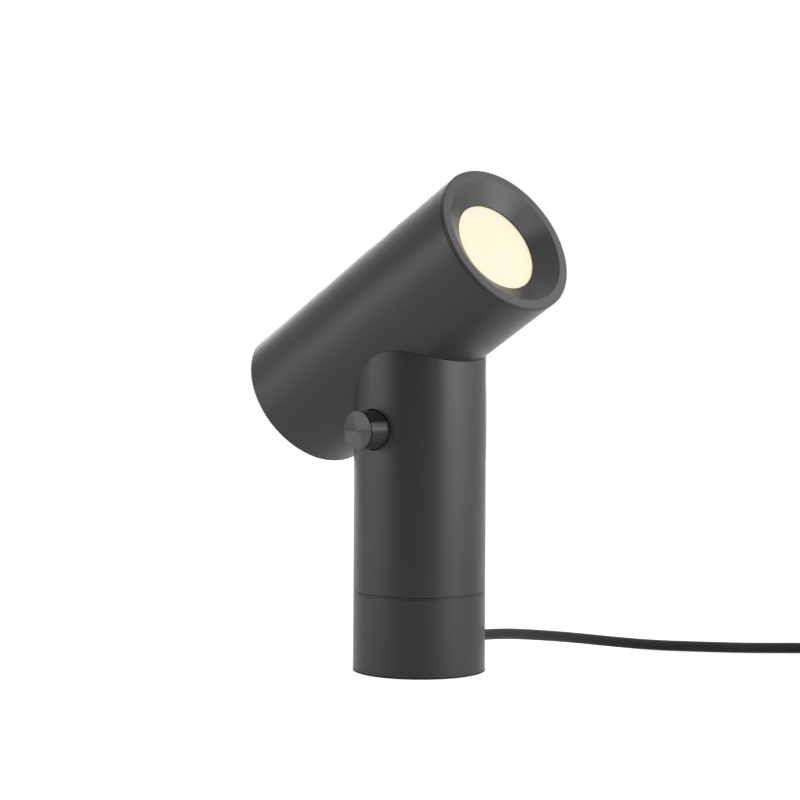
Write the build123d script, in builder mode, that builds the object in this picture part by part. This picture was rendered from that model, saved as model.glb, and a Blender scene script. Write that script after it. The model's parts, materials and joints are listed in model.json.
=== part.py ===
"""Tabletop searchlight lamp: a tilted cylinder head saddled on an upright column, which turns on a weighted
base. Millimetres. +Z is up, +X is the way the head points, the knob faces -Y and the lead leaves at +Y.
The origin is the centre of the foot pad's underside."""

from build123d import *
import os
from math import cos, pi, radians, sin, sqrt, tan

# Driving dimensions -------------------------------------------------------------------------------------

COLUMN_R = 36.5
SEAM_LOW = 43.95  # the base casing's top face
SEAM_HIGH = 44.6  # the column's lower face
EDGE_BREAK = 0.4

HEAD_R = 42.9
HEAD_TILT = 30.4
HEAD_AXIS_Z = 200.4  # where the head's axis crosses the column's
HEAD_FRONT = 73.0  # from that crossing to the front plane, along the head's axis
HEAD_REAR = 101.8
HEAD_BORE_R = 40.4

KNOB_R = 10.6
KNOB_Z = 134.6
KNOB_FACE = 47.9  # from the column's axis
KNOB_TRAVEL = 1.5
KNOB_PORT_R = 11.0

CORD_R = 3.05
CORD_EXIT_Z = 14.45
GLAND_NOSE = 47.5  # from the column's axis to the gland's tip

PART_FIT = 0.05  # play between pieces that seat in each other
M3_R, M4_R, M5_R = 1.5, 2.0, 2.5

# Frames -------------------------------------------------------------------------------------------------

HEAD_DIR = Vector(cos(radians(HEAD_TILT)), 0, sin(radians(HEAD_TILT)))
HEAD_UP = Vector(-sin(radians(HEAD_TILT)), 0, cos(radians(HEAD_TILT)))
HEAD_CENTRE = Vector(0, 0, HEAD_AXIS_Z)
HEAD_AXIS = Axis(HEAD_CENTRE, HEAD_DIR)

head = Plane(HEAD_CENTRE, x_dir=(0, 1, 0), z_dir=HEAD_DIR)  # local x is +Y, local y is the head's up
head_side = Plane(HEAD_CENTRE, x_dir=HEAD_DIR, z_dir=(0, -1, 0))  # local x is along the head's axis
knob_front = Plane((0, 0, KNOB_Z), x_dir=(1, 0, 0), z_dir=(0, -1, 0))  # faces out of the knob
knob_side = Plane((0, 0, KNOB_Z), x_dir=(0, -1, 0), z_dir=(1, 0, 0))  # local x runs out along the knob
KNOB_AXIS = Axis((0, 0, KNOB_Z), (0, -1, 0))
cord_out = Plane((0, 0, CORD_EXIT_Z), x_dir=(1, 0, 0), z_dir=(0, 1, 0))
cord_side = Plane((0, 0, CORD_EXIT_Z), x_dir=(0, 1, 0), z_dir=(1, 0, 0))
CORD_AXIS = Axis((0, 0, CORD_EXIT_Z), (0, 1, 0))


def under_head(station):
    """A plane on the head's axis at a station along it, facing down at right angles to the head."""
    return Plane(HEAD_CENTRE + HEAD_DIR * station, x_dir=HEAD_DIR, z_dir=HEAD_UP * -1)


def in_head(station, sideways, up):
    """A point in the head, from its station on the axis, its +Y offset and its height over the axis."""
    return HEAD_CENTRE + HEAD_DIR * station + Vector(0, sideways, 0) + HEAD_UP * up


def disc(plane, radius, thickness, mode=Mode.ADD):
    """Adds or cuts a round disc in the open part, from the plane along its normal."""
    with BuildSketch(plane) as outline:
        Circle(radius)
    extrude(outline.sketch, amount=thickness, mode=mode)


def block(plane, width, depth, thickness, mode=Mode.ADD):
    """Adds or cuts a rectangular block centred on the plane's origin."""
    with BuildSketch(plane) as outline:
        Rectangle(width, depth)
    extrude(outline.sketch, amount=thickness, mode=mode)


def cap_screw(seat, head_r, head_h, shank_r, length, key_r):
    """Adds a socket-head screw to the open part. seat lies under its head and faces its tip."""
    disc(seat, shank_r, length)
    disc(seat.offset(-head_h), head_r, head_h)
    with BuildSketch(seat.offset(-head_h)) as key:
        RegularPolygon(key_r, 6)
    extrude(key.sketch, amount=head_h * 0.55, mode=Mode.SUBTRACT)


def countersunk_screw(seat, head_r, head_h, shank_r, length, key_r):
    """Adds a countersunk screw to the open part. seat is its flush top and faces its tip."""
    with BuildSketch(seat) as rim:
        Circle(head_r)
    with BuildSketch(seat.offset(head_h)) as neck:
        Circle(shank_r)
    loft([rim.sketch, neck.sketch])
    disc(seat.offset(head_h), shank_r, length - head_h)
    with BuildSketch(seat) as key:
        RegularPolygon(key_r, 6)
    extrude(key.sketch, amount=head_h * 0.7, mode=Mode.SUBTRACT)


def round_wire(points, radii, wire_r):
    """Adds a round wire to the open part, along straight runs joined by arcs."""
    with BuildLine() as route:
        FilletPolyline(*points, radius=radii)
    with BuildSketch(Plane(route.line @ 0, z_dir=route.line % 0)) as section:
        Circle(wire_r)
    sweep(section.sketch, path=route.line)


def turned(plane, axis, *corners):
    """Adds a turned piece to the open part: a closed outline in the plane, revolved about the axis."""
    with BuildSketch(plane) as outline:
        with BuildLine():
            Polyline(*corners, close=True)
        make_face()
    revolve(outline.sketch, axis=axis)


os.makedirs("parts", exist_ok=True)

# Base ---------------------------------------------------------------------------------------------------

PAD_EDGE = 0.8  # the pad's rim, which shows under the casing
PAD_R = 36.0
BASE_BORE_R = 33.5
DECK_LOW = 38.45  # the deck's underside, inside the casing
PLATE_LOW, PLATE_HIGH = 1.6, 4.6
WEIGHT_HIGH = 28.0
WELL_R = 15.0
JOURNAL_R = 9.95
JOURNAL_BORE_R = 10.0
STOP_R, STOP_WIDTH, STOP_DEPTH = 24.0, 5.0, 3.0
STOP_PIN_R = 2.0
SWING = 165.0
GLIDE_IN, GLIDE_OUT, GLIDE_DEPTH = 28.5, 32.5, 1.0
SCREW_RING_R = 27.0
SCREW_ANGLES = (30, 150, 270)
CHANNEL_HALF = 8.2  # the cord's way through the weight
CHANNEL_FLOOR = 11.3
GLAND_THREAD_R = 5.0
STOP_PIN_ANGLE = 90.0

with BuildPart() as base_casing:
    disc(Plane.XY.offset(PAD_EDGE), COLUMN_R, SEAM_LOW - PAD_EDGE)
    disc(Plane.XY.offset(PAD_EDGE), BASE_BORE_R, DECK_LOW - PAD_EDGE, Mode.SUBTRACT)
    with BuildSketch(Plane.XY.offset(WEIGHT_HIGH)):
        with PolarLocations(SCREW_RING_R, 3, start_angle=SCREW_ANGLES[0]):
            Circle(5.0)
        with PolarLocations(SCREW_RING_R + 4.0, 3, start_angle=SCREW_ANGLES[0]):
            Rectangle(8.0, 5.0)
        Circle(BASE_BORE_R + 1.0, mode=Mode.INTERSECT)
    extrude(amount=DECK_LOW - WEIGHT_HIGH + 1.0)
    disc(Plane.XY.offset(DECK_LOW), JOURNAL_BORE_R, SEAM_LOW - DECK_LOW, Mode.SUBTRACT)
    # the ring that the glide lies in
    with BuildSketch(Plane.XY.offset(SEAM_LOW)):
        Circle(GLIDE_OUT + 0.1)
        Circle(GLIDE_IN - 0.1, mode=Mode.SUBTRACT)
    extrude(amount=-GLIDE_DEPTH, mode=Mode.SUBTRACT)
    # the stop groove, an arc that ends either side of the land at -Y
    pin_half_angle = (STOP_PIN_R + 0.1) / STOP_R * 180 / pi
    with BuildSketch(Plane.XY.offset(SEAM_LOW)):
        with BuildLine():
            CenterArc((0, 0), STOP_R, STOP_PIN_ANGLE - SWING - pin_half_angle, 2 * (SWING + pin_half_angle))
        trace(line_width=STOP_WIDTH)
    extrude(amount=-STOP_DEPTH, mode=Mode.SUBTRACT)
    # blind threads for the base screws
    with Locations(Plane.XY.offset(WEIGHT_HIGH)):
        with PolarLocations(SCREW_RING_R, 3, start_angle=SCREW_ANGLES[0]):
            Cylinder(M4_R, 9.0, align=(Align.CENTER, Align.CENTER, Align.MIN), mode=Mode.SUBTRACT)
    # the gland's hole and spot face
    disc(cord_out.offset(BASE_BORE_R - 8), GLAND_THREAD_R + PART_FIT, 12, Mode.SUBTRACT)
    disc(cord_out.offset(35.9), 6.7, 4, Mode.SUBTRACT)
    rims = base_casing.edges().filter_by(GeomType.CIRCLE).filter_by(lambda e: abs(e.radius - COLUMN_R) < 0.01)
    chamfer(rims.sort_by(Axis.Z)[-1], EDGE_BREAK)
    chamfer(rims.sort_by(Axis.Z)[0], EDGE_BREAK / 2)
base_casing.part.label = "base_casing"
export_step(base_casing.part, "parts/base_casing.step")

with BuildPart() as foot_pad:
    disc(Plane.XY, PAD_R, PAD_EDGE)
    disc(Plane.XY.offset(PAD_EDGE), BASE_BORE_R - 0.1, PLATE_LOW - PAD_EDGE)
foot_pad.part.label = "foot_pad"
export_step(foot_pad.part, "parts/foot_pad.step")

with BuildPart() as base_plate:
    disc(Plane.XY.offset(PLATE_LOW), BASE_BORE_R - 0.1, PLATE_HIGH - PLATE_LOW)
    with Locations(Plane.XY.offset(PLATE_LOW)):
        with PolarLocations(SCREW_RING_R, 3, start_angle=SCREW_ANGLES[0]):
            Cone(4.2, M4_R + 0.2, 2.3, align=(Align.CENTER, Align.CENTER, Align.MIN), mode=Mode.SUBTRACT)
            Cylinder(M4_R + 0.2, 8.0, align=(Align.CENTER, Align.CENTER, Align.MIN), mode=Mode.SUBTRACT)
base_plate.part.label = "base_plate"
export_step(base_plate.part, "parts/base_plate.step")

with BuildPart() as base_weight:
    disc(Plane.XY.offset(PLATE_HIGH), BASE_BORE_R - 0.2, WEIGHT_HIGH - PLATE_HIGH)
    disc(Plane.XY.offset(PLATE_HIGH), WELL_R, WEIGHT_HIGH - PLATE_HIGH, Mode.SUBTRACT)
    with Locations(Plane.XY.offset(PLATE_HIGH)):
        with PolarLocations(SCREW_RING_R, 3, start_angle=SCREW_ANGLES[0]):
            Cylinder(M4_R + 0.3, 40.0, align=(Align.CENTER, Align.CENTER, Align.MIN), mode=Mode.SUBTRACT)
    # the cord's channel, deeper beside the wall, where the gland's nut is
    channel = Plane((0, 24, CHANNEL_FLOOR))
    block(channel, 2 * CHANNEL_HALF, 24, WEIGHT_HIGH - CHANNEL_FLOOR, Mode.SUBTRACT)
    block(Plane((0, 32, 6.6)), 2 * CHANNEL_HALF, 9.6, WEIGHT_HIGH - 6.6, Mode.SUBTRACT)
    for side in (-1, 1):
        disc(Plane((side * 5.5, 22, CHANNEL_FLOOR)), M3_R, -5.0, Mode.SUBTRACT)
    chamfer(base_weight.edges().group_by(Axis.Z)[-1].filter_by(GeomType.CIRCLE), 0.8)
base_weight.part.label = "base_weight"
export_step(base_weight.part, "parts/base_weight.step")

with BuildPart() as base_screws:
    for angle in SCREW_ANGLES:
        spot = Vector(SCREW_RING_R * cos(radians(angle)), SCREW_RING_R * sin(radians(angle)), PLATE_LOW + 0.1)
        countersunk_screw(Plane(spot), 3.9, 2.1, M4_R - 0.02, 33.0, 1.45)
base_screws.part.label = "base_screws"
export_step(base_screws.part, "parts/base_screws.step")

with BuildPart() as glide_ring:
    with BuildSketch(Plane.XY.offset(SEAM_LOW - GLIDE_DEPTH)):
        Circle(GLIDE_OUT)
        Circle(GLIDE_IN, mode=Mode.SUBTRACT)
    extrude(amount=SEAM_HIGH - 0.05 - SEAM_LOW + GLIDE_DEPTH)
glide_ring.part.label = "glide_ring"
export_step(glide_ring.part, "parts/glide_ring.step")

# the swivel's stack under the deck
WASHER_HIGH = DECK_LOW - 0.05
WASHER_THICK = 1.2
SPRING_HIGH = WASHER_HIGH - WASHER_THICK - 0.05
SPRING_LOW = 36.0
NUT_HIGH = SPRING_LOW - 0.05
NUT_LOW = 32.4
JOURNAL_LOW = 31.2
JOURNAL_THREAD_R = 9.0
JOURNAL_WAY_R = 6.5  # the wires' way through the journal

with BuildPart() as friction_washer:
    with BuildSketch(Plane.XY.offset(WASHER_HIGH - WASHER_THICK)):
        Circle(16.0)
        Circle(JOURNAL_BORE_R + 0.1, mode=Mode.SUBTRACT)
    extrude(amount=WASHER_THICK)
friction_washer.part.label = "friction_washer"
export_step(friction_washer.part, "parts/friction_washer.step")

with BuildPart() as disc_spring:
    turned(
        Plane.XZ,
        Axis.Z,
        (10.2, SPRING_LOW),
        (15.6, SPRING_HIGH - 0.55),
        (15.6, SPRING_HIGH),
        (10.2, SPRING_LOW + 0.55),
    )
disc_spring.part.label = "disc_spring"
export_step(disc_spring.part, "parts/disc_spring.step")

with BuildPart() as swivel_nut:
    with BuildSketch(Plane.XY.offset(NUT_LOW)):
        Circle(13.6)
        Circle(JOURNAL_THREAD_R + PART_FIT, mode=Mode.SUBTRACT)
        with PolarLocations(13.2, 6):
            Rectangle(3.0, 2.6, mode=Mode.SUBTRACT)
    extrude(amount=NUT_HIGH - NUT_LOW)
swivel_nut.part.label = "swivel_nut"
export_step(swivel_nut.part, "parts/swivel_nut.step")

# the lead's way in
with BuildPart() as cord_gland:
    turned(
        cord_side,
        CORD_AXIS,
        (27.5, CORD_R + PART_FIT),
        (GLAND_NOSE, CORD_R + PART_FIT),
        (GLAND_NOSE, 3.75),
        (37.4, 4.8),
        (37.4, 6.2),
        (35.9, 6.2),
        (35.9, GLAND_THREAD_R),
        (27.5, GLAND_THREAD_R),
    )
    # two relief grooves, which let the nose bend with the cord
    for ring_y in (40.6, 43.4):
        with BuildSketch(cord_out.offset(ring_y)):
            Circle(6.0)
            Circle(3.6, mode=Mode.SUBTRACT)
        extrude(amount=0.9, mode=Mode.SUBTRACT)
cord_gland.part.label = "cord_gland"
export_step(cord_gland.part, "parts/cord_gland.step")

with BuildPart() as gland_nut:
    with BuildSketch(cord_out.offset(28.8)):
        RegularPolygon(7.4, 6)
        Circle(GLAND_THREAD_R + PART_FIT, mode=Mode.SUBTRACT)
    extrude(amount=3.6)
gland_nut.part.label = "gland_nut"
export_step(gland_nut.part, "parts/gland_nut.step")

with BuildPart() as inner_cord:
    disc(cord_out.offset(17.0), CORD_R, GLAND_NOSE - 17.0)
inner_cord.part.label = "inner_cord"
export_step(inner_cord.part, "parts/inner_cord.step")

with BuildPart() as cord_clamp:
    with BuildSketch(Plane((0, 25, 0), x_dir=(1, 0, 0), z_dir=(0, -1, 0))):
        with Locations((0, CHANNEL_FLOOR)):
            Rectangle(16.0, 8.6, align=(Align.CENTER, Align.MIN))
        with Locations((0, CORD_EXIT_Z)):
            Circle(CORD_R + PART_FIT, mode=Mode.SUBTRACT)
        with Locations((0, CHANNEL_FLOOR)):
            Rectangle(2 * CORD_R, CORD_EXIT_Z - CHANNEL_FLOOR, align=(Align.CENTER, Align.MIN), mode=Mode.SUBTRACT)
    extrude(amount=6.0)
    for side in (-1, 1):
        disc(Plane((side * 5.5, 22, CHANNEL_FLOOR)), M3_R, 9.0, Mode.SUBTRACT)
cord_clamp.part.label = "cord_clamp"
export_step(cord_clamp.part, "parts/cord_clamp.step")

with BuildPart() as clamp_screws:
    for side in (-1, 1):
        seat = Plane((side * 5.5, 22, CHANNEL_FLOOR + 8.6), z_dir=(0, 0, -1))
        cap_screw(seat, 2.6, 2.4, M3_R - 0.02, 12.0, 1.2)
clamp_screws.part.label = "clamp_screws"
export_step(clamp_screws.part, "parts/clamp_screws.step")

TERMINAL_TOP = 16.0
with BuildPart() as terminal_block:
    block(Plane((0, -2, PLATE_HIGH)), 20, 14, TERMINAL_TOP - PLATE_HIGH)
    for side in (-1, 1):
        disc(Plane((side * 5.0, -2, TERMINAL_TOP)), 2.2, -5.0, Mode.SUBTRACT)
        way = Plane((side * 5.0, 5.0, 11.0), z_dir=(0, -1, 0))
        disc(way, 1.8, 5.0, Mode.SUBTRACT)
    block(Plane((0, -2, TERMINAL_TOP)), 1.6, 14, -4.0, Mode.SUBTRACT)
    fillet(terminal_block.edges().filter_by(Axis.Z).group_by(SortBy.LENGTH)[-1], 1.0)
terminal_block.part.label = "terminal_block"
export_step(terminal_block.part, "parts/terminal_block.step")

with BuildPart() as cord_cores:
    for side in (-1, 1):
        round_wire(
            [
                (side * 1.35, 16.6, CORD_EXIT_Z),
                (side * 1.8, 13.5, CORD_EXIT_Z - 0.5),
                (side * 4.7, 9.5, 11.4),
                (side * 5.0, 1.5, 11.0),
            ],
            [2.5, 2.5],
            1.1,
        )
cord_cores.part.label = "cord_cores"
export_step(cord_cores.part, "parts/cord_cores.step")

# Column -------------------------------------------------------------------------------------------------

FOOT_HIGH = 54.6
FLANGE_HIGH = 46.6
LOW_BORE_R = 32.5
HIGH_BORE_R = 34.2
LEDGE_Z = 117.0
SADDLE_GAP = 0.15
ROD_R = 26.0
ROD_TIP = 128.0
ROD_HEAD_SEAT = 50.2
COLUMN_TOP = 178.0

with BuildPart() as column_tube:
    disc(Plane.XY.offset(SEAM_HIGH), COLUMN_R, COLUMN_TOP - SEAM_HIGH)
    disc(Plane.XY.offset(SEAM_HIGH), LOW_BORE_R, COLUMN_TOP - SEAM_HIGH, Mode.SUBTRACT)
    disc(Plane.XY.offset(SEAM_HIGH), HIGH_BORE_R, FLANGE_HIGH - SEAM_HIGH, Mode.SUBTRACT)
    disc(Plane.XY.offset(LEDGE_Z), HIGH_BORE_R, COLUMN_TOP - LEDGE_Z, Mode.SUBTRACT)
    # the saddle that the head lies in
    disc(head.offset(-HEAD_REAR), HEAD_R + SADDLE_GAP, HEAD_REAR + HEAD_FRONT, Mode.SUBTRACT)
    disc(knob_front.offset(20), KNOB_PORT_R, 20, Mode.SUBTRACT)
    low_rim = column_tube.edges().filter_by(GeomType.CIRCLE).group_by(Axis.Z)[0]
    chamfer(low_rim.filter_by(lambda e: abs(e.radius - COLUMN_R) < 0.01), EDGE_BREAK / 2)
column_tube.part.label = "column_tube"
export_step(column_tube.part, "parts/column_tube.step")

with BuildPart() as column_foot:
    turned(
        Plane.XZ,
        Axis.Z,
        (JOURNAL_WAY_R, JOURNAL_LOW),
        (JOURNAL_THREAD_R - 0.6, JOURNAL_LOW),
        (JOURNAL_THREAD_R, JOURNAL_LOW + 0.6),
        (JOURNAL_THREAD_R, SPRING_LOW),
        (JOURNAL_R, SPRING_LOW),
        (JOURNAL_R, SEAM_HIGH),
        (HIGH_BORE_R - 0.1, SEAM_HIGH),
        (HIGH_BORE_R - 0.1, FLANGE_HIGH - PART_FIT),
        (LOW_BORE_R - PART_FIT, FLANGE_HIGH - PART_FIT),
        (LOW_BORE_R - PART_FIT, FOOT_HIGH),
        (JOURNAL_WAY_R, FOOT_HIGH),
    )
    for side in (-1, 1):
        disc(Plane((side * ROD_R, 0, SEAM_HIGH)), 4.6, ROD_HEAD_SEAT - SEAM_HIGH, Mode.SUBTRACT)
        disc(Plane((side * ROD_R, 0, SEAM_HIGH)), M5_R + 0.2, FOOT_HIGH - SEAM_HIGH, Mode.SUBTRACT)
        disc(Plane((side * 12.0, 13.0, FOOT_HIGH)), M3_R, -7.0, Mode.SUBTRACT)
    stop_spot = Plane((0, STOP_R, SEAM_HIGH))
    disc(stop_spot, STOP_PIN_R, 6.0, Mode.SUBTRACT)
column_foot.part.label = "column_foot"
export_step(column_foot.part, "parts/column_foot.step")

with BuildPart() as stop_pin:
    disc(Plane((0, STOP_R, SEAM_LOW - STOP_DEPTH + 0.3)), STOP_PIN_R - 0.01, 9.2)
stop_pin.part.label = "stop_pin"
export_step(stop_pin.part, "parts/stop_pin.step")

with BuildPart() as tie_rods:
    for side in (-1, 1):
        cap_screw(Plane((side * ROD_R, 0, ROD_HEAD_SEAT)), 4.25, 4.8, M5_R - 0.02, ROD_TIP - ROD_HEAD_SEAT, 2.1)
tie_rods.part.label = "tie_rods"
export_step(tie_rods.part, "parts/tie_rods.step")

# The saddle block: a cast plug under the head, hollow below, with bosses for the rods and the head's screws.
ROOF = 5.0
BLOCK_WALL_R = 29.0
HEAD_SCREW_STATIONS = (-43.0, -7.0)
WIRE_STATION = -25.0
WIRE_WAY_R = 5.0
WIRE_DEPTH = 25.4  # the wires' height under the head's axis
SCREW_DEPTH = 14.0

with BuildPart() as block_hollow:
    disc(Plane.XY.offset(LEDGE_Z), BLOCK_WALL_R, COLUMN_TOP - LEDGE_Z)
    disc(head.offset(-HEAD_REAR), HEAD_R + ROOF, HEAD_REAR + HEAD_FRONT, Mode.SUBTRACT)

with BuildPart() as saddle_block:
    disc(Plane.XY.offset(LEDGE_Z), HIGH_BORE_R - 0.1, COLUMN_TOP - LEDGE_Z)
    add(block_hollow.part, mode=Mode.SUBTRACT)
    for side in (-1, 1):
        with BuildSketch(Plane((side * ROD_R, 0, LEDGE_Z))):
            Circle(6.0)
            with Locations((side * 3.5, 0)):
                Rectangle(7.0, 12.0)
        extrude(amount=14.0)
    for station in HEAD_SCREW_STATIONS:
        disc(under_head(station).offset(HEAD_R), 5.5, SCREW_DEPTH)
    disc(Plane.XY.offset(LEDGE_Z), HIGH_BORE_R - 0.1, COLUMN_TOP - LEDGE_Z, Mode.INTERSECT)
    disc(head.offset(-HEAD_REAR), HEAD_R + PART_FIT, HEAD_REAR + HEAD_FRONT, Mode.SUBTRACT)
    for side in (-1, 1):
        disc(Plane((side * ROD_R, 0, LEDGE_Z)), M5_R, ROD_TIP + 1 - LEDGE_Z, Mode.SUBTRACT)
    for station in HEAD_SCREW_STATIONS:
        disc(under_head(station).offset(HEAD_R - 5), M5_R, SCREW_DEPTH + 4, Mode.SUBTRACT)
    disc(under_head(WIRE_STATION).offset(HEAD_R - 5), WIRE_WAY_R, 14, Mode.SUBTRACT)
    disc(knob_front.offset(20), KNOB_PORT_R + 1.7, 20, Mode.SUBTRACT)
saddle_block.part.label = "saddle_block"
export_step(saddle_block.part, "parts/saddle_block.step")

# The chassis stands on the column foot and carries the driver and the dimmer.
SHEET = 1.5
CHASSIS_Y = 5.0
CHASSIS_TOP = 118.0
DRIVER_LOW, DRIVER_HIGH = 64.0, 110.0
DRIVER_BACK = CHASSIS_Y + SHEET
EAR = 3.5  # from the driver's ends to its ears' holes
WIRE_CROSSING = 60.0  # where the supply wires pass the chassis plate
DIMMER_FACE = 20.5  # the dimmer housing's front, from the column's axis

with BuildPart() as chassis_plate:
    with BuildSketch(Plane((0, CHASSIS_Y + SHEET, 0), x_dir=(1, 0, 0), z_dir=(0, -1, 0))):
        with Locations((0, FOOT_HIGH)):
            Rectangle(36, CHASSIS_TOP - FOOT_HIGH, align=(Align.CENTER, Align.MIN))
        with Locations((0, DRIVER_LOW - EAR), (0, DRIVER_HIGH + EAR)):
            Circle(M3_R, mode=Mode.SUBTRACT)
        with Locations((-9, WIRE_CROSSING), (9, WIRE_CROSSING)):
            Circle(2.4, mode=Mode.SUBTRACT)
    extrude(amount=SHEET)
    with BuildSketch(Plane.XY.offset(FOOT_HIGH)):
        with Locations((0, CHASSIS_Y)):
            Rectangle(36, 14, align=(Align.CENTER, Align.MIN))
        Circle(JOURNAL_WAY_R, mode=Mode.SUBTRACT)
    extrude(amount=SHEET)
    for side in (-1, 1):
        disc(Plane((side * 12.0, 13.0, FOOT_HIGH)), M3_R + 0.1, SHEET, Mode.SUBTRACT)
    bend = chassis_plate.edges().filter_by(Axis.X)
    fillet(bend.sort_by(lambda e: (e.center() - Vector(0, CHASSIS_Y + SHEET, FOOT_HIGH + SHEET)).length)[0], 1.0)
chassis_plate.part.label = "chassis_plate"
export_step(chassis_plate.part, "parts/chassis_plate.step")

with BuildPart() as chassis_screws:
    for side in (-1, 1):
        seat = Plane((side * 12.0, 13.0, FOOT_HIGH + SHEET), z_dir=(0, 0, -1))
        cap_screw(seat, 2.7, 2.2, M3_R - 0.02, 7.0, 1.2)
chassis_screws.part.label = "chassis_screws"
export_step(chassis_screws.part, "parts/chassis_screws.step")

with BuildPart() as led_driver:
    block(Plane((0, DRIVER_BACK + 8.5, DRIVER_LOW)), 32, 17, DRIVER_HIGH - DRIVER_LOW)
    fillet(led_driver.edges().filter_by(Axis.Z).group_by(Axis.Y)[-1], 3.0)
    # a stepped lid seam, the fixing ears and the terminal mouths
    with BuildSketch(Plane((0, DRIVER_BACK, 0), x_dir=(-1, 0, 0), z_dir=(0, 1, 0))):
        for ear_z in (DRIVER_LOW - EAR, DRIVER_HIGH + EAR):
            with Locations((0, ear_z)):
                Rectangle(12, 7)
    extrude(amount=2.5)
    for ear_z in (DRIVER_LOW - EAR, DRIVER_HIGH + EAR):
        disc(Plane((0, DRIVER_BACK, ear_z), z_dir=(0, 1, 0)), M3_R + 0.2, 3.0, Mode.SUBTRACT)
    for mouth_x in (-9, -3, 3, 9):
        block(Plane((mouth_x, DRIVER_BACK + 8.5, DRIVER_HIGH)), 3.4, 3.4, -5.0, Mode.SUBTRACT)
        block(Plane((mouth_x, DRIVER_BACK + 8.5, DRIVER_LOW)), 3.4, 3.4, 5.0, Mode.SUBTRACT)
led_driver.part.label = "led_driver"
export_step(led_driver.part, "parts/led_driver.step")

with BuildPart() as driver_screws:
    for ear_z in (DRIVER_LOW - EAR, DRIVER_HIGH + EAR):
        seat = Plane((0, DRIVER_BACK + 2.5, ear_z), z_dir=(0, -1, 0))
        cap_screw(seat, 2.7, 2.0, M3_R - 0.02, 2.5 + SHEET, 1.2)
driver_screws.part.label = "driver_screws"
export_step(driver_screws.part, "parts/driver_screws.step")

# The dimmer: a bracket off the chassis, a housing with a threaded bush, and a slider behind the shaft.
SHAFT_R = 3.0
BUSH_R = 4.5
BUSH_OUT = 26.5
HOUSING_BACK = 10.5
HOUSING_R = 8.0
SLIDER_R = 5.0
SLIDER_BACK = 14.0
SLIDER_FRONT = 18.0

with BuildPart() as dimmer_bracket:
    with BuildSketch(knob_front.offset(DIMMER_FACE)):
        with Locations((0, -7.5)):
            Rectangle(20, 31)
        Circle(BUSH_R + PART_FIT, mode=Mode.SUBTRACT)
    extrude(amount=SHEET)
    foot_z = KNOB_Z - 23.0
    with BuildSketch(Plane.XY.offset(foot_z)):
        with Locations((0, CHASSIS_Y)):
            Rectangle(20, CHASSIS_Y + DIMMER_FACE + SHEET, align=(Align.CENTER, Align.MAX))
        with Locations((0, -8)):
            SlotOverall(11, 6, mode=Mode.SUBTRACT)
    extrude(amount=SHEET)
dimmer_bracket.part.label = "dimmer_bracket"
export_step(dimmer_bracket.part, "parts/dimmer_bracket.step")

with BuildPart() as dimmer_housing:
    turned(
        knob_side,
        KNOB_AXIS,
        (HOUSING_BACK, 0),
        (SLIDER_BACK - KNOB_TRAVEL - 0.4, 0),
        (SLIDER_BACK - KNOB_TRAVEL - 0.4, SLIDER_R + 0.1),
        (SLIDER_FRONT + 0.4, SLIDER_R + 0.1),
        (SLIDER_FRONT + 0.4, SHAFT_R + PART_FIT),
        (BUSH_OUT, SHAFT_R + PART_FIT),
        (BUSH_OUT, BUSH_R),
        (DIMMER_FACE, BUSH_R),
        (DIMMER_FACE, HOUSING_R),
        (HOUSING_BACK, HOUSING_R),
    )
dimmer_housing.part.label = "dimmer_housing"
export_step(dimmer_housing.part, "parts/dimmer_housing.step")

with BuildPart() as dimmer_nut:
    with BuildSketch(knob_front.offset(DIMMER_FACE + SHEET)):
        RegularPolygon(7.2, 6)
        Circle(BUSH_R + PART_FIT, mode=Mode.SUBTRACT)
    extrude(amount=2.2)
dimmer_nut.part.label = "dimmer_nut"
export_step(dimmer_nut.part, "parts/dimmer_nut.step")

with BuildPart() as dimmer_board:
    with BuildSketch(knob_front.offset(HOUSING_BACK - 1.6)):
        Circle(9.0)
        with Locations((0, -11)):
            Rectangle(14, 10)
        with Locations((-4, -13), (0, -13), (4, -13)):
            Circle(0.6, mode=Mode.SUBTRACT)
    extrude(amount=1.5)
dimmer_board.part.label = "dimmer_board"
export_step(dimmer_board.part, "parts/dimmer_board.step")

with BuildPart() as switch_slider:
    turned(
        knob_side,
        KNOB_AXIS,
        (SLIDER_BACK, 0),
        (SLIDER_FRONT - 2.0, 0),
        (SLIDER_FRONT - 2.0, SHAFT_R - 0.9),
        (SLIDER_FRONT, SHAFT_R - 0.9),
        (SLIDER_FRONT, SLIDER_R),
        (SLIDER_BACK, SLIDER_R),
    )
switch_slider.part.label = "switch_slider"
export_step(switch_slider.part, "parts/switch_slider.step")

KNOB_INNER = 29.5  # the knob's inner end, from the column's axis
with BuildPart() as knob_shaft:
    turned(
        knob_side,
        KNOB_AXIS,
        (SLIDER_FRONT - 1.9, 0),
        (38.0, 0),
        (38.0, SHAFT_R - 0.01),
        (SLIDER_FRONT + 0.05, SHAFT_R - 0.01),
        (SLIDER_FRONT + 0.05, SHAFT_R - 1.0),
        (SLIDER_FRONT - 1.9, SHAFT_R - 1.0),
    )
    # the flat that the grub screw bears on
    flat = Plane((0, -38.0, KNOB_Z - SHAFT_R + 0.5), z_dir=(0, 0, -1))
    block(flat, 8, 2 * (38.0 - 27.5), 2, Mode.SUBTRACT)
knob_shaft.part.label = "knob_shaft"
export_step(knob_shaft.part, "parts/knob_shaft.step")

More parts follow.
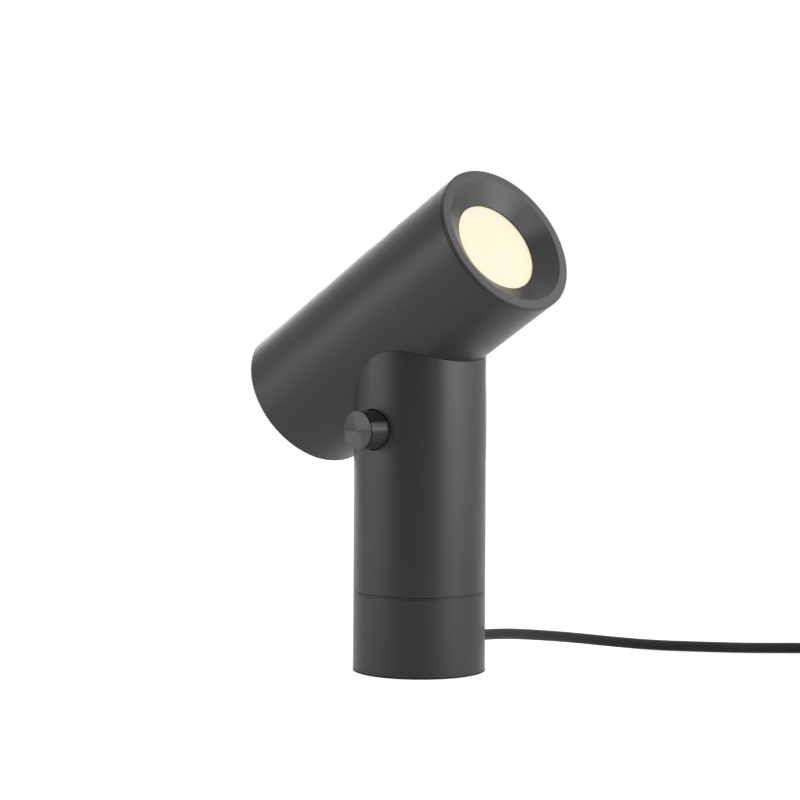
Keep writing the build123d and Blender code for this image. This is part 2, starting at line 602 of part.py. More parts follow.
GRUB_Y = 33.0
with BuildPart() as knob:
    disc(knob_front.offset(KNOB_INNER), KNOB_R, KNOB_FACE - KNOB_INNER)
    disc(knob_front.offset(KNOB_INNER), SHAFT_R, 38.05 - KNOB_INNER, Mode.SUBTRACT)
    disc(Plane((0, -GRUB_Y, KNOB_Z), z_dir=(0, 0, -1)), M3_R, KNOB_R + 1, Mode.SUBTRACT)
    face_rim = knob.edges().filter_by(GeomType.CIRCLE).group_by(Axis.Y)[0]
    chamfer(face_rim, 0.3)
    # the fine groove behind the face
    with BuildSketch(knob_front.offset(KNOB_FACE - 1.15)):
        Circle(KNOB_R + 1)
        Circle(KNOB_R - 0.55, mode=Mode.SUBTRACT)
    extrude(amount=0.55, mode=Mode.SUBTRACT)
knob.part.label = "knob"
export_step(knob.part, "parts/knob.step")

with BuildPart() as knob_grub_screw:
    disc(Plane((0, -GRUB_Y, KNOB_Z - SHAFT_R + 0.45), z_dir=(0, 0, -1)), M3_R - 0.02, 6.0)
    with BuildSketch(Plane((0, -GRUB_Y, KNOB_Z - SHAFT_R + 0.45 - 6.0))):
        RegularPolygon(0.85, 6)
    extrude(amount=2.0, mode=Mode.SUBTRACT)
knob_grub_screw.part.label = "knob_grub_screw"
export_step(knob_grub_screw.part, "parts/knob_grub_screw.step")

with BuildPart() as supply_wires:
    for side in (-1, 1):
        round_wire(
            [
                (side * 1.6, 0, TERMINAL_TOP + 1.0),
                (side * 1.6, 0, 54.5),
                (side * 9.0, 2.5, WIRE_CROSSING),
                (side * 9.0, DRIVER_BACK + 8.5, WIRE_CROSSING),
                (side * 9.0, DRIVER_BACK + 8.5, DRIVER_LOW + 4.0),
            ],
            [2.0, 2.0, 2.0],
            1.1,
        )
supply_wires.part.label = "supply_wires"
export_step(supply_wires.part, "parts/supply_wires.step")

# Head ---------------------------------------------------------------------------------------------------

BEZEL_FLANGE = 1.6
BEZEL_GAP = 0.25
TUBE_FRONT = HEAD_FRONT - BEZEL_FLANGE - BEZEL_GAP
CONE_WIDE_R, CONE_NARROW_R, CONE_DEPTH = 37.0, 25.45, 8.1
LIP = 0.8
DIFFUSER_R, DIFFUSER_THICK = 28.0, 2.5
CLAMP_FLAT = 34.0  # from the head's axis down to the clamp's flat
CLAMP_FRONT, CLAMP_BACK = 2.0, -52.0

with BuildPart() as head_tube:
    disc(head.offset(-HEAD_REAR), HEAD_R, HEAD_REAR + TUBE_FRONT)
    disc(head.offset(-HEAD_REAR), HEAD_BORE_R, HEAD_REAR + TUBE_FRONT, Mode.SUBTRACT)
    rims = head_tube.edges().filter_by(GeomType.CIRCLE)
    chamfer(rims.filter_by(lambda e: abs(e.radius - HEAD_R) < 0.01), EDGE_BREAK)
    for station in HEAD_SCREW_STATIONS:
        disc(under_head(station).offset(HEAD_BORE_R - 2), M5_R + 0.2, 6, Mode.SUBTRACT)
    disc(under_head(WIRE_STATION).offset(HEAD_BORE_R - 2), WIRE_WAY_R, 6, Mode.SUBTRACT)
head_tube.part.label = "head_tube"
export_step(head_tube.part, "parts/head_tube.step")

with BuildPart() as saddle_clamp:
    with BuildSketch(head.offset(CLAMP_BACK)):
        Circle(HEAD_BORE_R - PART_FIT)
        with Locations((0, -CLAMP_FLAT)):
            Rectangle(36, 20, align=(Align.CENTER, Align.MAX), mode=Mode.INTERSECT)
    extrude(amount=CLAMP_FRONT - CLAMP_BACK)
    for station in HEAD_SCREW_STATIONS:
        disc(under_head(station).offset(CLAMP_FLAT), M5_R + 0.2, 10, Mode.SUBTRACT)
    disc(under_head(WIRE_STATION).offset(CLAMP_FLAT), WIRE_WAY_R, 10, Mode.SUBTRACT)
saddle_clamp.part.label = "saddle_clamp"
export_step(saddle_clamp.part, "parts/saddle_clamp.step")

with BuildPart() as head_screws:
    cap_screw(under_head(HEAD_SCREW_STATIONS[0]).offset(CLAMP_FLAT), 4.25, 5.0, M5_R - 0.02, 20.0, 2.1)
    cap_screw(under_head(HEAD_SCREW_STATIONS[1]).offset(CLAMP_FLAT - 2.0), 4.25, 5.0, M5_R - 0.02, 20.0, 2.1)
head_screws.part.label = "head_screws"
export_step(head_screws.part, "parts/head_screws.step")

with BuildPart() as wire_grommet:
    grommet_plane = under_head(WIRE_STATION)
    with BuildSketch(grommet_plane.offset(CLAMP_FLAT)):
        Circle(WIRE_WAY_R - PART_FIT)
        Circle(3.2, mode=Mode.SUBTRACT)
    extrude(amount=13.0)
    with BuildSketch(grommet_plane.offset(CLAMP_FLAT - 1.2)):
        Circle(6.6)
        Circle(3.2, mode=Mode.SUBTRACT)
    extrude(amount=1.2)
wire_grommet.part.label = "wire_grommet"
export_step(wire_grommet.part, "parts/wire_grommet.step")

SINK_REAR, SINK_FRONT = 10.0, 43.0
SINK_R = 39.6
with BuildPart() as engine_bracket:
    # a foot on the clamp and an upright behind the heat sink
    block(Plane(HEAD_CENTRE + HEAD_DIR * -4.0 - HEAD_UP * CLAMP_FLAT, x_dir=(0, 1, 0), z_dir=HEAD_UP), 24, 28, 2.0)
    with BuildSketch(head.offset(SINK_REAR - 2.0)):
        with Locations((0, -CLAMP_FLAT)):
            Rectangle(24, CLAMP_FLAT + 12, align=(Align.CENTER, Align.MIN))
        with Locations((0, -WIRE_DEPTH)):
            SlotOverall(14, 7, mode=Mode.SUBTRACT)
        with Locations((-8, 0), (8, 0)):
            Circle(M3_R + 0.1, mode=Mode.SUBTRACT)
    extrude(amount=2.0)
    disc(under_head(HEAD_SCREW_STATIONS[1]).offset(CLAMP_FLAT - 3), M5_R + 0.2, 4, Mode.SUBTRACT)
engine_bracket.part.label = "engine_bracket"
export_step(engine_bracket.part, "parts/engine_bracket.step")

with BuildPart() as bracket_screws:
    for side in (-8, 8):
        seat = Plane(HEAD_CENTRE + HEAD_DIR * (SINK_REAR - 2.0) + Vector(0, side, 0), z_dir=HEAD_DIR)
        cap_screw(seat, 2.7, 2.6, M3_R - 0.02, 10.0, 1.2)
bracket_screws.part.label = "bracket_screws"
export_step(bracket_screws.part, "parts/bracket_screws.step")

FIN_COUNT, FIN_THICK, CORE_R, FACE_THICK = 24, 1.6, 14.0, 5.0
with BuildPart() as heat_sink:
    with BuildSketch(head.offset(SINK_REAR)):
        Circle(CORE_R)
        with PolarLocations(0, FIN_COUNT, start_angle=7.5):
            Rectangle(SINK_R, FIN_THICK, align=(Align.MIN, Align.CENTER))
        Circle(SINK_R, mode=Mode.INTERSECT)
    extrude(amount=SINK_FRONT - SINK_REAR)
    disc(head.offset(SINK_FRONT - FACE_THICK), SINK_R, FACE_THICK)
    with BuildSketch(head.offset(SINK_REAR)):
        with Locations((-8, 0), (8, 0)):
            Circle(M3_R)
    extrude(amount=9.0, mode=Mode.SUBTRACT)
    with BuildSketch(head.offset(SINK_FRONT)):
        with PolarLocations(14.0, 3, start_angle=90):
            Circle(M3_R)
    extrude(amount=-8.0, mode=Mode.SUBTRACT)
    # the wires' notch in the face plate
    with BuildSketch(head.offset(SINK_FRONT)):
        with Locations((0, -WIRE_DEPTH)):
            SlotOverall(12, 6, rotation=90)
    extrude(amount=-FACE_THICK, mode=Mode.SUBTRACT)
heat_sink.part.label = "heat_sink"
export_step(heat_sink.part, "parts/heat_sink.step")

BOARD_THICK = 1.6
with BuildPart() as led_board:
    with BuildSketch(head.offset(SINK_FRONT)):
        Circle(18.0)
        with PolarLocations(14.0, 3, start_angle=90):
            Circle(M3_R + 0.1, mode=Mode.SUBTRACT)
    extrude(amount=BOARD_THICK)
led_board.part.label = "led_board"
export_step(led_board.part, "parts/led_board.step")

with BuildPart() as board_screws:
    for angle in (90, 210, 330):
        offset_y, offset_up = 14.0 * cos(radians(angle)), 14.0 * sin(radians(angle))
        spot = HEAD_CENTRE + HEAD_DIR * (SINK_FRONT + BOARD_THICK) + Vector(0, offset_y, 0) + HEAD_UP * offset_up
        cap_screw(Plane(spot, z_dir=HEAD_DIR * -1), 2.6, 1.8, M3_R - 0.02, 7.0, 1.2)
board_screws.part.label = "board_screws"
export_step(board_screws.part, "parts/board_screws.step")

with BuildPart() as cob_led:
    block(head.offset(SINK_FRONT + BOARD_THICK), 15, 15, 1.0)
    disc(head.offset(SINK_FRONT + BOARD_THICK + 1.0), 6.0, 0.5)
cob_led.part.label = "cob_led"
export_step(cob_led.part, "parts/cob_led.step")

LIP_FACE = HEAD_FRONT - CONE_DEPTH
DIFFUSER_FRONT = LIP_FACE - LIP
CUP_FRONT = DIFFUSER_FRONT - DIFFUSER_THICK
CUP_REAR = SINK_FRONT
with BuildPart() as mixing_cup:
    turned(
        head_side,
        HEAD_AXIS,
        (CUP_REAR, 19.0),
        (CUP_REAR, 21.0),
        (CUP_FRONT - 1.5, 27.0),
        (CUP_FRONT - 1.5, 30.5),
        (CUP_FRONT, 30.5),
        (CUP_FRONT, 25.2),
    )
    # the notch that the wires come in by
    block(Plane(in_head(SINK_FRONT, 0, -21.5), x_dir=(0, 1, 0), z_dir=HEAD_DIR), 6, 9, 4.5, Mode.SUBTRACT)
mixing_cup.part.label = "mixing_cup"
export_step(mixing_cup.part, "parts/mixing_cup.step")

with BuildPart() as front_diffuser:
    disc(head.offset(CUP_FRONT), DIFFUSER_R, DIFFUSER_THICK)
front_diffuser.part.label = "front_diffuser"
export_step(front_diffuser.part, "parts/front_diffuser.step")

SPIGOT_R = HEAD_BORE_R - 0.1
SPIGOT_LONG = 15.0
RING_GROOVE = 1.3
with BuildPart() as front_bezel:
    turned(
        head_side,
        HEAD_AXIS,
        (HEAD_FRONT, CONE_WIDE_R),
        (HEAD_FRONT, HEAD_R - EDGE_BREAK),
        (HEAD_FRONT - EDGE_BREAK, HEAD_R),
        (HEAD_FRONT - BEZEL_FLANGE, HEAD_R),
        (HEAD_FRONT - BEZEL_FLANGE, SPIGOT_R),
        (HEAD_FRONT - 8.0, SPIGOT_R),
        (HEAD_FRONT - 8.0, SPIGOT_R - RING_GROOVE),
        (HEAD_FRONT - 10.0, SPIGOT_R - RING_GROOVE),
        (HEAD_FRONT - 10.0, SPIGOT_R),
        (HEAD_FRONT - SPIGOT_LONG, SPIGOT_R),
        (HEAD_FRONT - SPIGOT_LONG, SPIGOT_R - 2.4),
        (HEAD_FRONT - 3.4, SPIGOT_R - 2.4),
        (DIFFUSER_FRONT + 1.4, DIFFUSER_R + 1.6),
        (CUP_FRONT, DIFFUSER_R + 1.6),
        (CUP_FRONT, DIFFUSER_R + 0.2),
        (DIFFUSER_FRONT, DIFFUSER_R + 0.2),
        (DIFFUSER_FRONT, CONE_NARROW_R),
        (LIP_FACE, CONE_NARROW_R),
    )
front_bezel.part.label = "front_bezel"
export_step(front_bezel.part, "parts/front_bezel.step")


def seal_ring(station):
    """Adds an o-ring, seated in a spigot's groove at a station on the head's axis."""
    with BuildSketch(head_side) as section:
        with Locations((station, HEAD_BORE_R - 0.68)):
            Circle(0.66)
    revolve(section.sketch, axis=HEAD_AXIS)


with BuildPart() as bezel_ring:
    seal_ring(HEAD_FRONT - 9.0)
bezel_ring.part.label = "bezel_ring"
export_step(bezel_ring.part, "parts/bezel_ring.step")

CAP_FACE = -HEAD_REAR + 1.6  # the rear cap lies this much inside the tube's end
CAP_THICK = 2.4
with BuildPart() as rear_cap:
    turned(
        head_side,
        HEAD_AXIS,
        (CAP_FACE, 0),
        (CAP_FACE, SPIGOT_R - 0.6),
        (CAP_FACE + 0.5, SPIGOT_R - 0.1),
        (CAP_FACE + 6.0, SPIGOT_R - 0.1),
        (CAP_FACE + 6.0, SPIGOT_R - RING_GROOVE),
        (CAP_FACE + 8.0, SPIGOT_R - RING_GROOVE),
        (CAP_FACE + 8.0, SPIGOT_R - 0.1),
        (CAP_FACE + 12.0, SPIGOT_R - 0.1),
        (CAP_FACE + 12.0, SPIGOT_R - 2.6),
        (CAP_FACE + CAP_THICK + 2, SPIGOT_R - 2.6),
        (CAP_FACE + CAP_THICK, SPIGOT_R - 4.6),
        (CAP_FACE + CAP_THICK, 0),
    )
rear_cap.part.label = "rear_cap"
export_step(rear_cap.part, "parts/rear_cap.step")

with BuildPart() as cap_ring:
    seal_ring(CAP_FACE + 7.0)
cap_ring.part.label = "cap_ring"
export_step(cap_ring.part, "parts/cap_ring.step")

with BuildPart() as led_wires:
    for side in (-1, 1):
        wire_up = [in_head(WIRE_STATION, side * 1.4, -depth) for depth in (52.0, 30.5)]
        round_wire(
            [
                (side * 3.0, DRIVER_BACK + 8.5, DRIVER_HIGH - 4.0),
                (side * 3.0, DRIVER_BACK + 8.5, 124.0),
                (side * 2.0, 4.0, 130.0),
                wire_up[0],
                wire_up[1],
                in_head(-18.0, side * 1.4, -WIRE_DEPTH),
                in_head(SINK_FRONT + BOARD_THICK + 1.3, side * 1.4, -WIRE_DEPTH),
                in_head(SINK_FRONT + BOARD_THICK + 1.3, side * 1.4, -15.5),
            ],
            [3.0, 3.0, 3.0, 2.5, 2.5, 2.5],
            0.9,
        )
led_wires.part.label = "led_wires"
export_step(led_wires.part, "parts/led_wires.step")

# Lead ---------------------------------------------------------------------------------------------------

CORD_FLOOR = CORD_R + 0.05
COIL_CENTRE = (176.3, 208.4)
COIL_OUT_R, COIL_IN_R = 45.0, 23.3  # centrelines of the outermost and innermost turns
COIL_HIGH = 4 * CORD_R + 0.2
TAIL_Z = 3 * CORD_R + 0.15

RUN_POINTS = [
    (0, GLAND_NOSE + 0.12, CORD_EXIT_Z),
    (0, 64, 13.9),
    (3.5, 90, 10.95),
    (12, 115, 7.7),
    (25.5, 136, 4.55),
    (43, 150.5, CORD_FLOOR),
    (64, 164.5, CORD_FLOOR),
    (87, 181.5, CORD_FLOOR),
    (108, 204.5, CORD_FLOOR),
    (126.2, 223.4, CORD_FLOOR),
    (144.5, 240.2, CORD_FLOOR),
]
TAIL_POINTS = [
    (221.3, 208.4, TAIL_Z),
    (221.6, 195.4, TAIL_Z - 0.2),
    (220.8, 181.8, 7.7),
    (219.6, 168.4, 6.9),
]


def arc_radii(points):
    """The largest arcs that the route's runs allow: 0.45 of the shorter run over the tangent of half the turn."""
    radii = []
    for before, corner, after in zip(points, points[1:], points[2:]):
        run_in = Vector(corner) - Vector(before)
        run_out = Vector(after) - Vector(corner)
        half_turn = radians(run_in.get_angle(run_out)) / 2
        radii.append(0.45 * min(run_in.length, run_out.length) / tan(half_turn))
    return radii


def lead(points, name):
    """Adds a stretch of the lead to the open part, and prints its arcs and its length against its volume."""
    radii = arc_radii(points)
    with BuildLine() as route:
        FilletPolyline(*points, radius=radii)
    with BuildSketch(Plane(route.line @ 0, z_dir=route.line % 0)) as section:
        Circle(CORD_R)
    made = sweep(section.sketch, path=route.line)
    path_length = sum(edge.length for edge in route.edges())
    by_section = pi * CORD_R**2 * path_length
    print(name, "radii", [round(r) for r in radii])
    print(name, "length", round(path_length, 1), "volume", round(made.volume), "of", round(by_section))


with BuildPart() as cord_run:
    lead(RUN_POINTS, "cord_run")
cord_run.part.label = "cord_run"
export_step(cord_run.part, "parts/cord_run.step")

with BuildPart() as cord_coil:
    coil_plane = Plane((*COIL_CENTRE, 0), x_dir=(1, 0, 0), z_dir=(0, -1, 0))
    with BuildSketch(coil_plane):
        with Locations(((COIL_OUT_R + COIL_IN_R) / 2, COIL_HIGH / 2 + 0.05)):
            RectangleRounded(COIL_OUT_R - COIL_IN_R + 2 * CORD_R + 0.6, COIL_HIGH, CORD_R)
    revolve(axis=Axis((*COIL_CENTRE, 0), (0, 0, 1)))
cord_coil.part.label = "cord_coil"
export_step(cord_coil.part, "parts/cord_coil.step")

with BuildPart() as cord_tail:
    lead(TAIL_POINTS, "cord_tail")
cord_tail.part.label = "cord_tail"
export_step(cord_tail.part, "parts/cord_tail.step")

# The two-pin plug lies flat on the surface, with its pins away from the tail.
PLUG_X, PLUG_Z = 219.6, 6.9
PLUG_BACK_Y = 168.1
RELIEF_LONG, PLUG_LONG, PIN_LONG = 15.0, 35.0, 19.0
PIN_R, PIN_HALF = 2.0, 9.3
PLUG_WIDE, PLUG_THICK = 35.3, 13.7
plug_frame = Plane((PLUG_X, PLUG_BACK_Y, PLUG_Z), x_dir=(1, 0, 0), z_dir=(0, -1, 0))  # looks out of the pins

with BuildPart() as plug_body:
    with BuildSketch(plug_frame):
        Circle(CORD_R + 0.7)
    with BuildSketch(plug_frame.offset(RELIEF_LONG)):
        Circle(5.2)
    loft()
    with BuildSketch(plug_frame.offset(RELIEF_LONG)):
        RectangleRounded(13.0, 11.0, 4.0)
    with BuildSketch(plug_frame.offset(RELIEF_LONG + 15.0)):
        RectangleRounded(PLUG_WIDE - 5, PLUG_THICK, 5.5)
    loft()
    with BuildSketch(plug_frame.offset(RELIEF_LONG + 15.0)):
        RectangleRounded(PLUG_WIDE - 5, PLUG_THICK, 5.5)
    with BuildSketch(plug_frame.offset(RELIEF_LONG + PLUG_LONG)):
        RectangleRounded(PLUG_WIDE, PLUG_THICK, 5.5)
    loft()
    front_face = plug_body.faces().sort_by(Axis.Y)[0]
    fillet(front_face.edges(), 0.8)
plug_body.part.label = "plug_body"
export_step(plug_body.part, "parts/plug_body.step")

with BuildPart() as plug_pins:
    for side in (-1, 1):
        pin_plane = Plane(
            (PLUG_X + side * PIN_HALF, PLUG_BACK_Y - RELIEF_LONG - PLUG_LONG, PLUG_Z), z_dir=(0, -1, 0)
        )
        disc(pin_plane, PIN_R, PIN_LONG)
    fillet(plug_pins.edges().group_by(Axis.Y)[0], 1.2)
plug_pins.part.label = "plug_pins"
export_step(plug_pins.part, "parts/plug_pins.step")
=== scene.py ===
"""Tabletop searchlight lamp: its shapes, its finishes and a plain stage."""

import json
from math import cos, pi, radians, sin

import bpy
from bpy.props import FloatProperty, FloatVectorProperty, PointerProperty
from mathutils import Matrix, Vector


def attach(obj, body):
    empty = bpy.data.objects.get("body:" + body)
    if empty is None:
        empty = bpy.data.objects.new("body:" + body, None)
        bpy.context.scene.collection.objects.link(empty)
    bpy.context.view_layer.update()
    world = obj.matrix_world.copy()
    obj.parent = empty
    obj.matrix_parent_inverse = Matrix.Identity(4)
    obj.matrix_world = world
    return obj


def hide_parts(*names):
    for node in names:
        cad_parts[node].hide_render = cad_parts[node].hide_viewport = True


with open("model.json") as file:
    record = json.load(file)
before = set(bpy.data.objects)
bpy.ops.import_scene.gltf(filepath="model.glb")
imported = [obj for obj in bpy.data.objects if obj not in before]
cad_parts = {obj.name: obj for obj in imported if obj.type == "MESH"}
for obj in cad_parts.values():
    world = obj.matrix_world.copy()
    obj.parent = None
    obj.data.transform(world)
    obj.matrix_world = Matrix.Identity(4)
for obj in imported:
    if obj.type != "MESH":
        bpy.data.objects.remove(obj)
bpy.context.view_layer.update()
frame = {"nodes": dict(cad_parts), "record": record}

bl_info = {
    "name": "Searchlight Table Lamp",
    "version": (1, 0, 0),
    "blender": (4, 5, 0),
    "location": "3D View > Sidebar > Lamp",
    "description": "Builds a saddled searchlight table lamp, with its finishes and stage",
    "category": "Object",
}

MM = 0.001
SAME = 1e-6  # metres within which two points are one
SWIVEL_STOP = 165.0  # degrees that the column turns each way
PIN_ROOM = 5.0  # degrees that the stop's groove runs on past each stop
WAVE_SCALE = 0.314  # a wave texture's scale that gives one wave to the metre


# Settings ----------


def length(name, description, millimetres):
    """A length property, with its default in millimetres."""
    return FloatProperty(
        name=name, description=description, default=millimetres * MM, unit="LENGTH", precision=5
    )


def power(name, description, watts):
    """A light's power."""
    return FloatProperty(name=name, description=description, default=watts, unit="POWER")


def colour(name, description, default):
    """A linear colour property."""
    return FloatVectorProperty(
        name=name, description=description, default=default, subtype="COLOR", size=3, min=0.0, max=1.0
    )


class LampSizes(bpy.types.PropertyGroup):
    """The lamp's main sizes."""

    column_radius: length("Column radius", "Outside radius of the column and the base", 36.5)
    seam_low: length("Seam, low side", "Height of the base casing's rim", 44.12)
    seam_high: length("Seam, high side", "Height of the column's lower face", 44.38)
    head_radius: length("Head radius", "Outside radius of the head", 42.9)
    head_bore: length("Head bore", "Inside radius of the head tube", 40.4)
    head_height: length("Head height", "Where the head's axis crosses the column's", 200.4)
    head_front: length("Head front", "From that crossing to the front plane", 74.0)
    head_rear: length("Head rear", "From that crossing to the rear rim", 101.8)
    head_tilt: FloatProperty(
        name="Head tilt", description="Rise of the head's axis", default=radians(30.4), unit="ROTATION"
    )
    saddle_gap: length("Saddle gap", "Gap between the head and the column's saddle", 0.15)
    edge_round: length("Edge rounding", "Rounding of the turned edges", 0.35)
    knob_radius: length("Knob radius", "Outside radius of the knob", 10.6)
    knob_height: length("Knob height", "Height of the knob's axis", 134.6)
    knob_face: length("Knob face", "From the column's axis to the knob's face", 47.9)
    knob_port: length("Knob port", "Radius of the column's hole round the knob", 11.4)
    cord_radius: length("Lead radius", "Half the lead's thickness", 3.05)
    cord_height: length("Lead height", "Height at which the lead leaves the base", 14.45)


class LampColours(bpy.types.PropertyGroup):
    """The lamp's main colours."""

    body: colour("Body", "Satin paint of the head, column and base", (0.027, 0.027, 0.027))
    knob: colour("Knob", "Dark turned metal of the knob", (0.074, 0.074, 0.074))
    lead: colour("Lead", "Braided cover of the lead", (0.022, 0.022, 0.022))
    glow: colour("Glow", "Lit face of the opal disc", (0.965, 0.845, 0.6))


class LampStage(bpy.types.PropertyGroup):
    """The stage's camera and lights."""

    lens: FloatProperty(
        name="Lens", description="Focal length on a 36 mm sensor", default=119.211, unit="CAMERA"
    )
    left_light: power("Left light", "Power of the left softbox", 5.8)
    low_left_light: power("Low left light", "Power of the low card at the left", 0.05)
    high_left_light: power("High left light", "Power of the high left softbox", 2.4)
    far_light: power("Far light", "Power of the far left softbox", 3.5)
    right_light: power("Right light", "Power of the right softbox", 7.8)
    low_light: power("Low light", "Power of the low right strip", 7.0)
    rear_light: power("Rear light", "Power of the strip behind", 14.0)
    high_rear_light: power("High rear light", "Power of the high softbox behind", 3.2)
    front_light: power("Front light", "Power of the front softbox", 3.1)
    high_light: power("High light", "Power of the high right softbox", 2.2)
    floor_glow: FloatProperty(
        name="Floor glow", description="White that the floor shows of itself", default=0.5, min=0.0
    )
    surround: FloatProperty(
        name="Surround", description="Light that the white surround gives", default=0.0, min=0.0
    )
    glow_strength: FloatProperty(
        name="Glow", description="Strength of the lit disc", default=0.72, min=0.0
    )


# Finishes ----------


def node(tree, kind, inputs=(), **settings):
    """Adds a node with its settings. inputs gives sockets, by name or number, a value or a source."""
    made = tree.nodes.new(kind)
    for key, value in settings.items():
        setattr(made, key, value)
    for key, value in dict(inputs).items():
        if isinstance(value, bpy.types.NodeSocket):
            tree.links.new(value, made.inputs[key])
        else:
            made.inputs[key].default_value = value
    return made


class Finish:
    """A material under construction: a Principled shader with textures in Object coordinates."""

    def __init__(self, name, base, roughness, metallic=0.0):
        self.material = bpy.data.materials.new(name)
        self.material.use_nodes = True
        self.tree = self.material.node_tree
        self.shader = self.tree.nodes["Principled BSDF"]
        self.set("Base Color", (*base, 1.0))
        self.set("Roughness", roughness)
        self.set("Metallic", metallic)
        self.base = base
        self.place = self.add("ShaderNodeTexCoord").outputs["Object"]
        self.bumps = None

    def set(self, socket, value):
        """Sets a value on the shader's own socket."""
        self.shader.inputs[socket].default_value = value

    def feed(self, source, socket):
        """Links a source to the shader's own socket."""
        self.tree.links.new(source, self.shader.inputs[socket])

    def add(self, kind, inputs=(), **settings):
        """Adds a node to the material."""
        return node(self.tree, kind, inputs, **settings)

    def mapped(self, scale=(1, 1, 1), turn=(0, 0, 0), shift=(0, 0, 0), source=None):
        """The piece's coordinates, shifted, turned and stretched."""
        inputs = {"Scale": scale, "Rotation": turn, "Location": shift, "Vector": source or self.place}
        return self.add("ShaderNodeMapping", inputs).outputs["Vector"]

    def noise(self, size, detail=3.0, where=None):
        """Noise whose grains are about size metres wide."""
        inputs = {"Scale": 1.0 / size, "Detail": detail, "Vector": where or self.place}
        return self.add("ShaderNodeTexNoise", inputs).outputs["Fac"]

    def flecks(self, size):
        """Random values on cells about size metres wide."""
        inputs = {"Scale": 1.0 / size, "Vector": self.place}
        return self.add("ShaderNodeTexVoronoi", inputs).outputs["Color"]

    def waves(self, size, where, distortion, detail, **settings):
        """Bands or rings, about size metres from one to the next."""
        inputs = {"Scale": WAVE_SCALE / size, "Distortion": distortion, "Detail": detail}
        return self.add("ShaderNodeTexWave", {**inputs, "Vector": where}, **settings).outputs["Fac"]

    def ranged(self, source, low, high, floor=0.3, ceiling=0.7):
        """A texture's value, brought between low and high."""
        inputs = {"From Min": floor, "From Max": ceiling, "To Min": low, "To Max": high}
        return self.add("ShaderNodeMapRange", {**inputs, "Value": source}).outputs["Result"]

    def joined(self, first, second, how):
        """Two values brought together."""
        return self.add("ShaderNodeMath", {0: first, 1: second}, operation=how).outputs["Value"]

    def tint(self, source, darker, lighter):
        """Varies the base colour between two shares of itself."""
        mixer = self.add("ShaderNodeMix", {"Factor": source}, data_type="RGBA")
        sockets = [socket for socket in mixer.inputs if socket.type == "RGBA"]
        for socket, level in zip(sockets, (darker, lighter)):
            socket.default_value = (*[min(1.0, share * level) for share in self.base], 1.0)
        self.feed([socket for socket in mixer.outputs if socket.type == "RGBA"][0], "Base Color")

    def worn(self, source, smoother, rougher):
        """Varies the roughness between two values."""
        self.feed(self.ranged(source, smoother, rougher), "Roughness")

    def relief(self, source, depth):
        """Adds a bump of depth metres, over those added before it."""
        inputs = {"Strength": 1.0, "Distance": depth, "Height": source}
        if self.bumps:
            inputs["Normal"] = self.bumps
        self.bumps = self.add("ShaderNodeBump", inputs).outputs["Normal"]
        self.feed(self.bumps, "Normal")


def satin_paint(name, base):
    """Satin paint over turned aluminium: a soft orange peel, and flecks too fine to see from afar."""
    paint = Finish(name, base, 0.36)
    flecks = paint.flecks(0.00022)
    paint.tint(paint.ranged(flecks, 0.0, 1.0, 0.0, 1.0), 0.86, 1.14)
    paint.worn(paint.noise(0.02, 4.0), 0.34, 0.40)
    paint.relief(paint.noise(0.0011, 2.0), 0.000012)
    paint.relief(flecks, 0.000004)
    return paint.material


def turned_knob_metal(name, base):
    """Dark metal with a lathe's rings on it, which draw its light out across them. Its face, out along
    -Y, has a finer cut than its side."""
    metal = Finish(name, base, 0.36, 1.0)
    metal.set("Anisotropic", 1.0)
    metal.set("Anisotropic Rotation", 0.25)
    tangent = metal.add("ShaderNodeTangent", direction_type="RADIAL", axis="Y")
    metal.feed(tangent.outputs["Tangent"], "Tangent")
    sizes = bpy.context.scene.lamp_sizes
    centred = metal.mapped(shift=(0, 0, -sizes.knob_height))
    rings = metal.waves(0.00016, centred, 1.5, 1.0, wave_type="RINGS", rings_direction="Y")
    parts = metal.add("ShaderNodeSeparateXYZ", {"Vector": metal.place})
    face = -sizes.knob_face
    coarser = metal.ranged(parts.outputs["Y"], 0.0, 0.13, face + 0.1 * MM, face + 0.4 * MM)
    grain = metal.ranged(metal.noise(0.004, 3.0), 0.26, 0.30)
    metal.feed(metal.joined(grain, coarser, "ADD"), "Roughness")
    metal.relief(rings, 0.000001)
    return metal.material


def lit_opal(name, glow, strength):
    """Opal plastic, lit from behind, a little dimmer where it meets its seat."""
    opal = Finish(name, (0.3, 0.29, 0.26), 0.35)
    opal.set("Emission Strength", strength)
    middle = head_frame().inverted()
    flat = opal.mapped(turn=middle.to_euler(), shift=middle.to_translation())
    sideways = opal.mapped(scale=(1, 1, 0), source=flat)
    reach = opal.add("ShaderNodeVectorMath", {0: sideways}, operation="LENGTH")
    edge = opal.ranged(reach.outputs["Value"], 0.0, 1.0, 18.5 * MM, 26.2 * MM)
    clouds = opal.ranged(opal.noise(0.006, 2.0), 0.0, 0.25)
    ramp = opal.add("ShaderNodeValToRGB", {"Fac": opal.joined(edge, clouds, "ADD")})
    ramp.color_ramp.elements[0].color = (*glow, 1.0)
    dimmer = [share * kept for share, kept in zip(glow, (0.955, 0.93, 0.91))]
    ramp.color_ramp.elements[1].color = (*dimmer, 1.0)
    opal.feed(ramp.outputs["Color"], "Emission Color")
    opal.relief(opal.noise(0.0008, 2.0), 0.000004)
    return opal.material


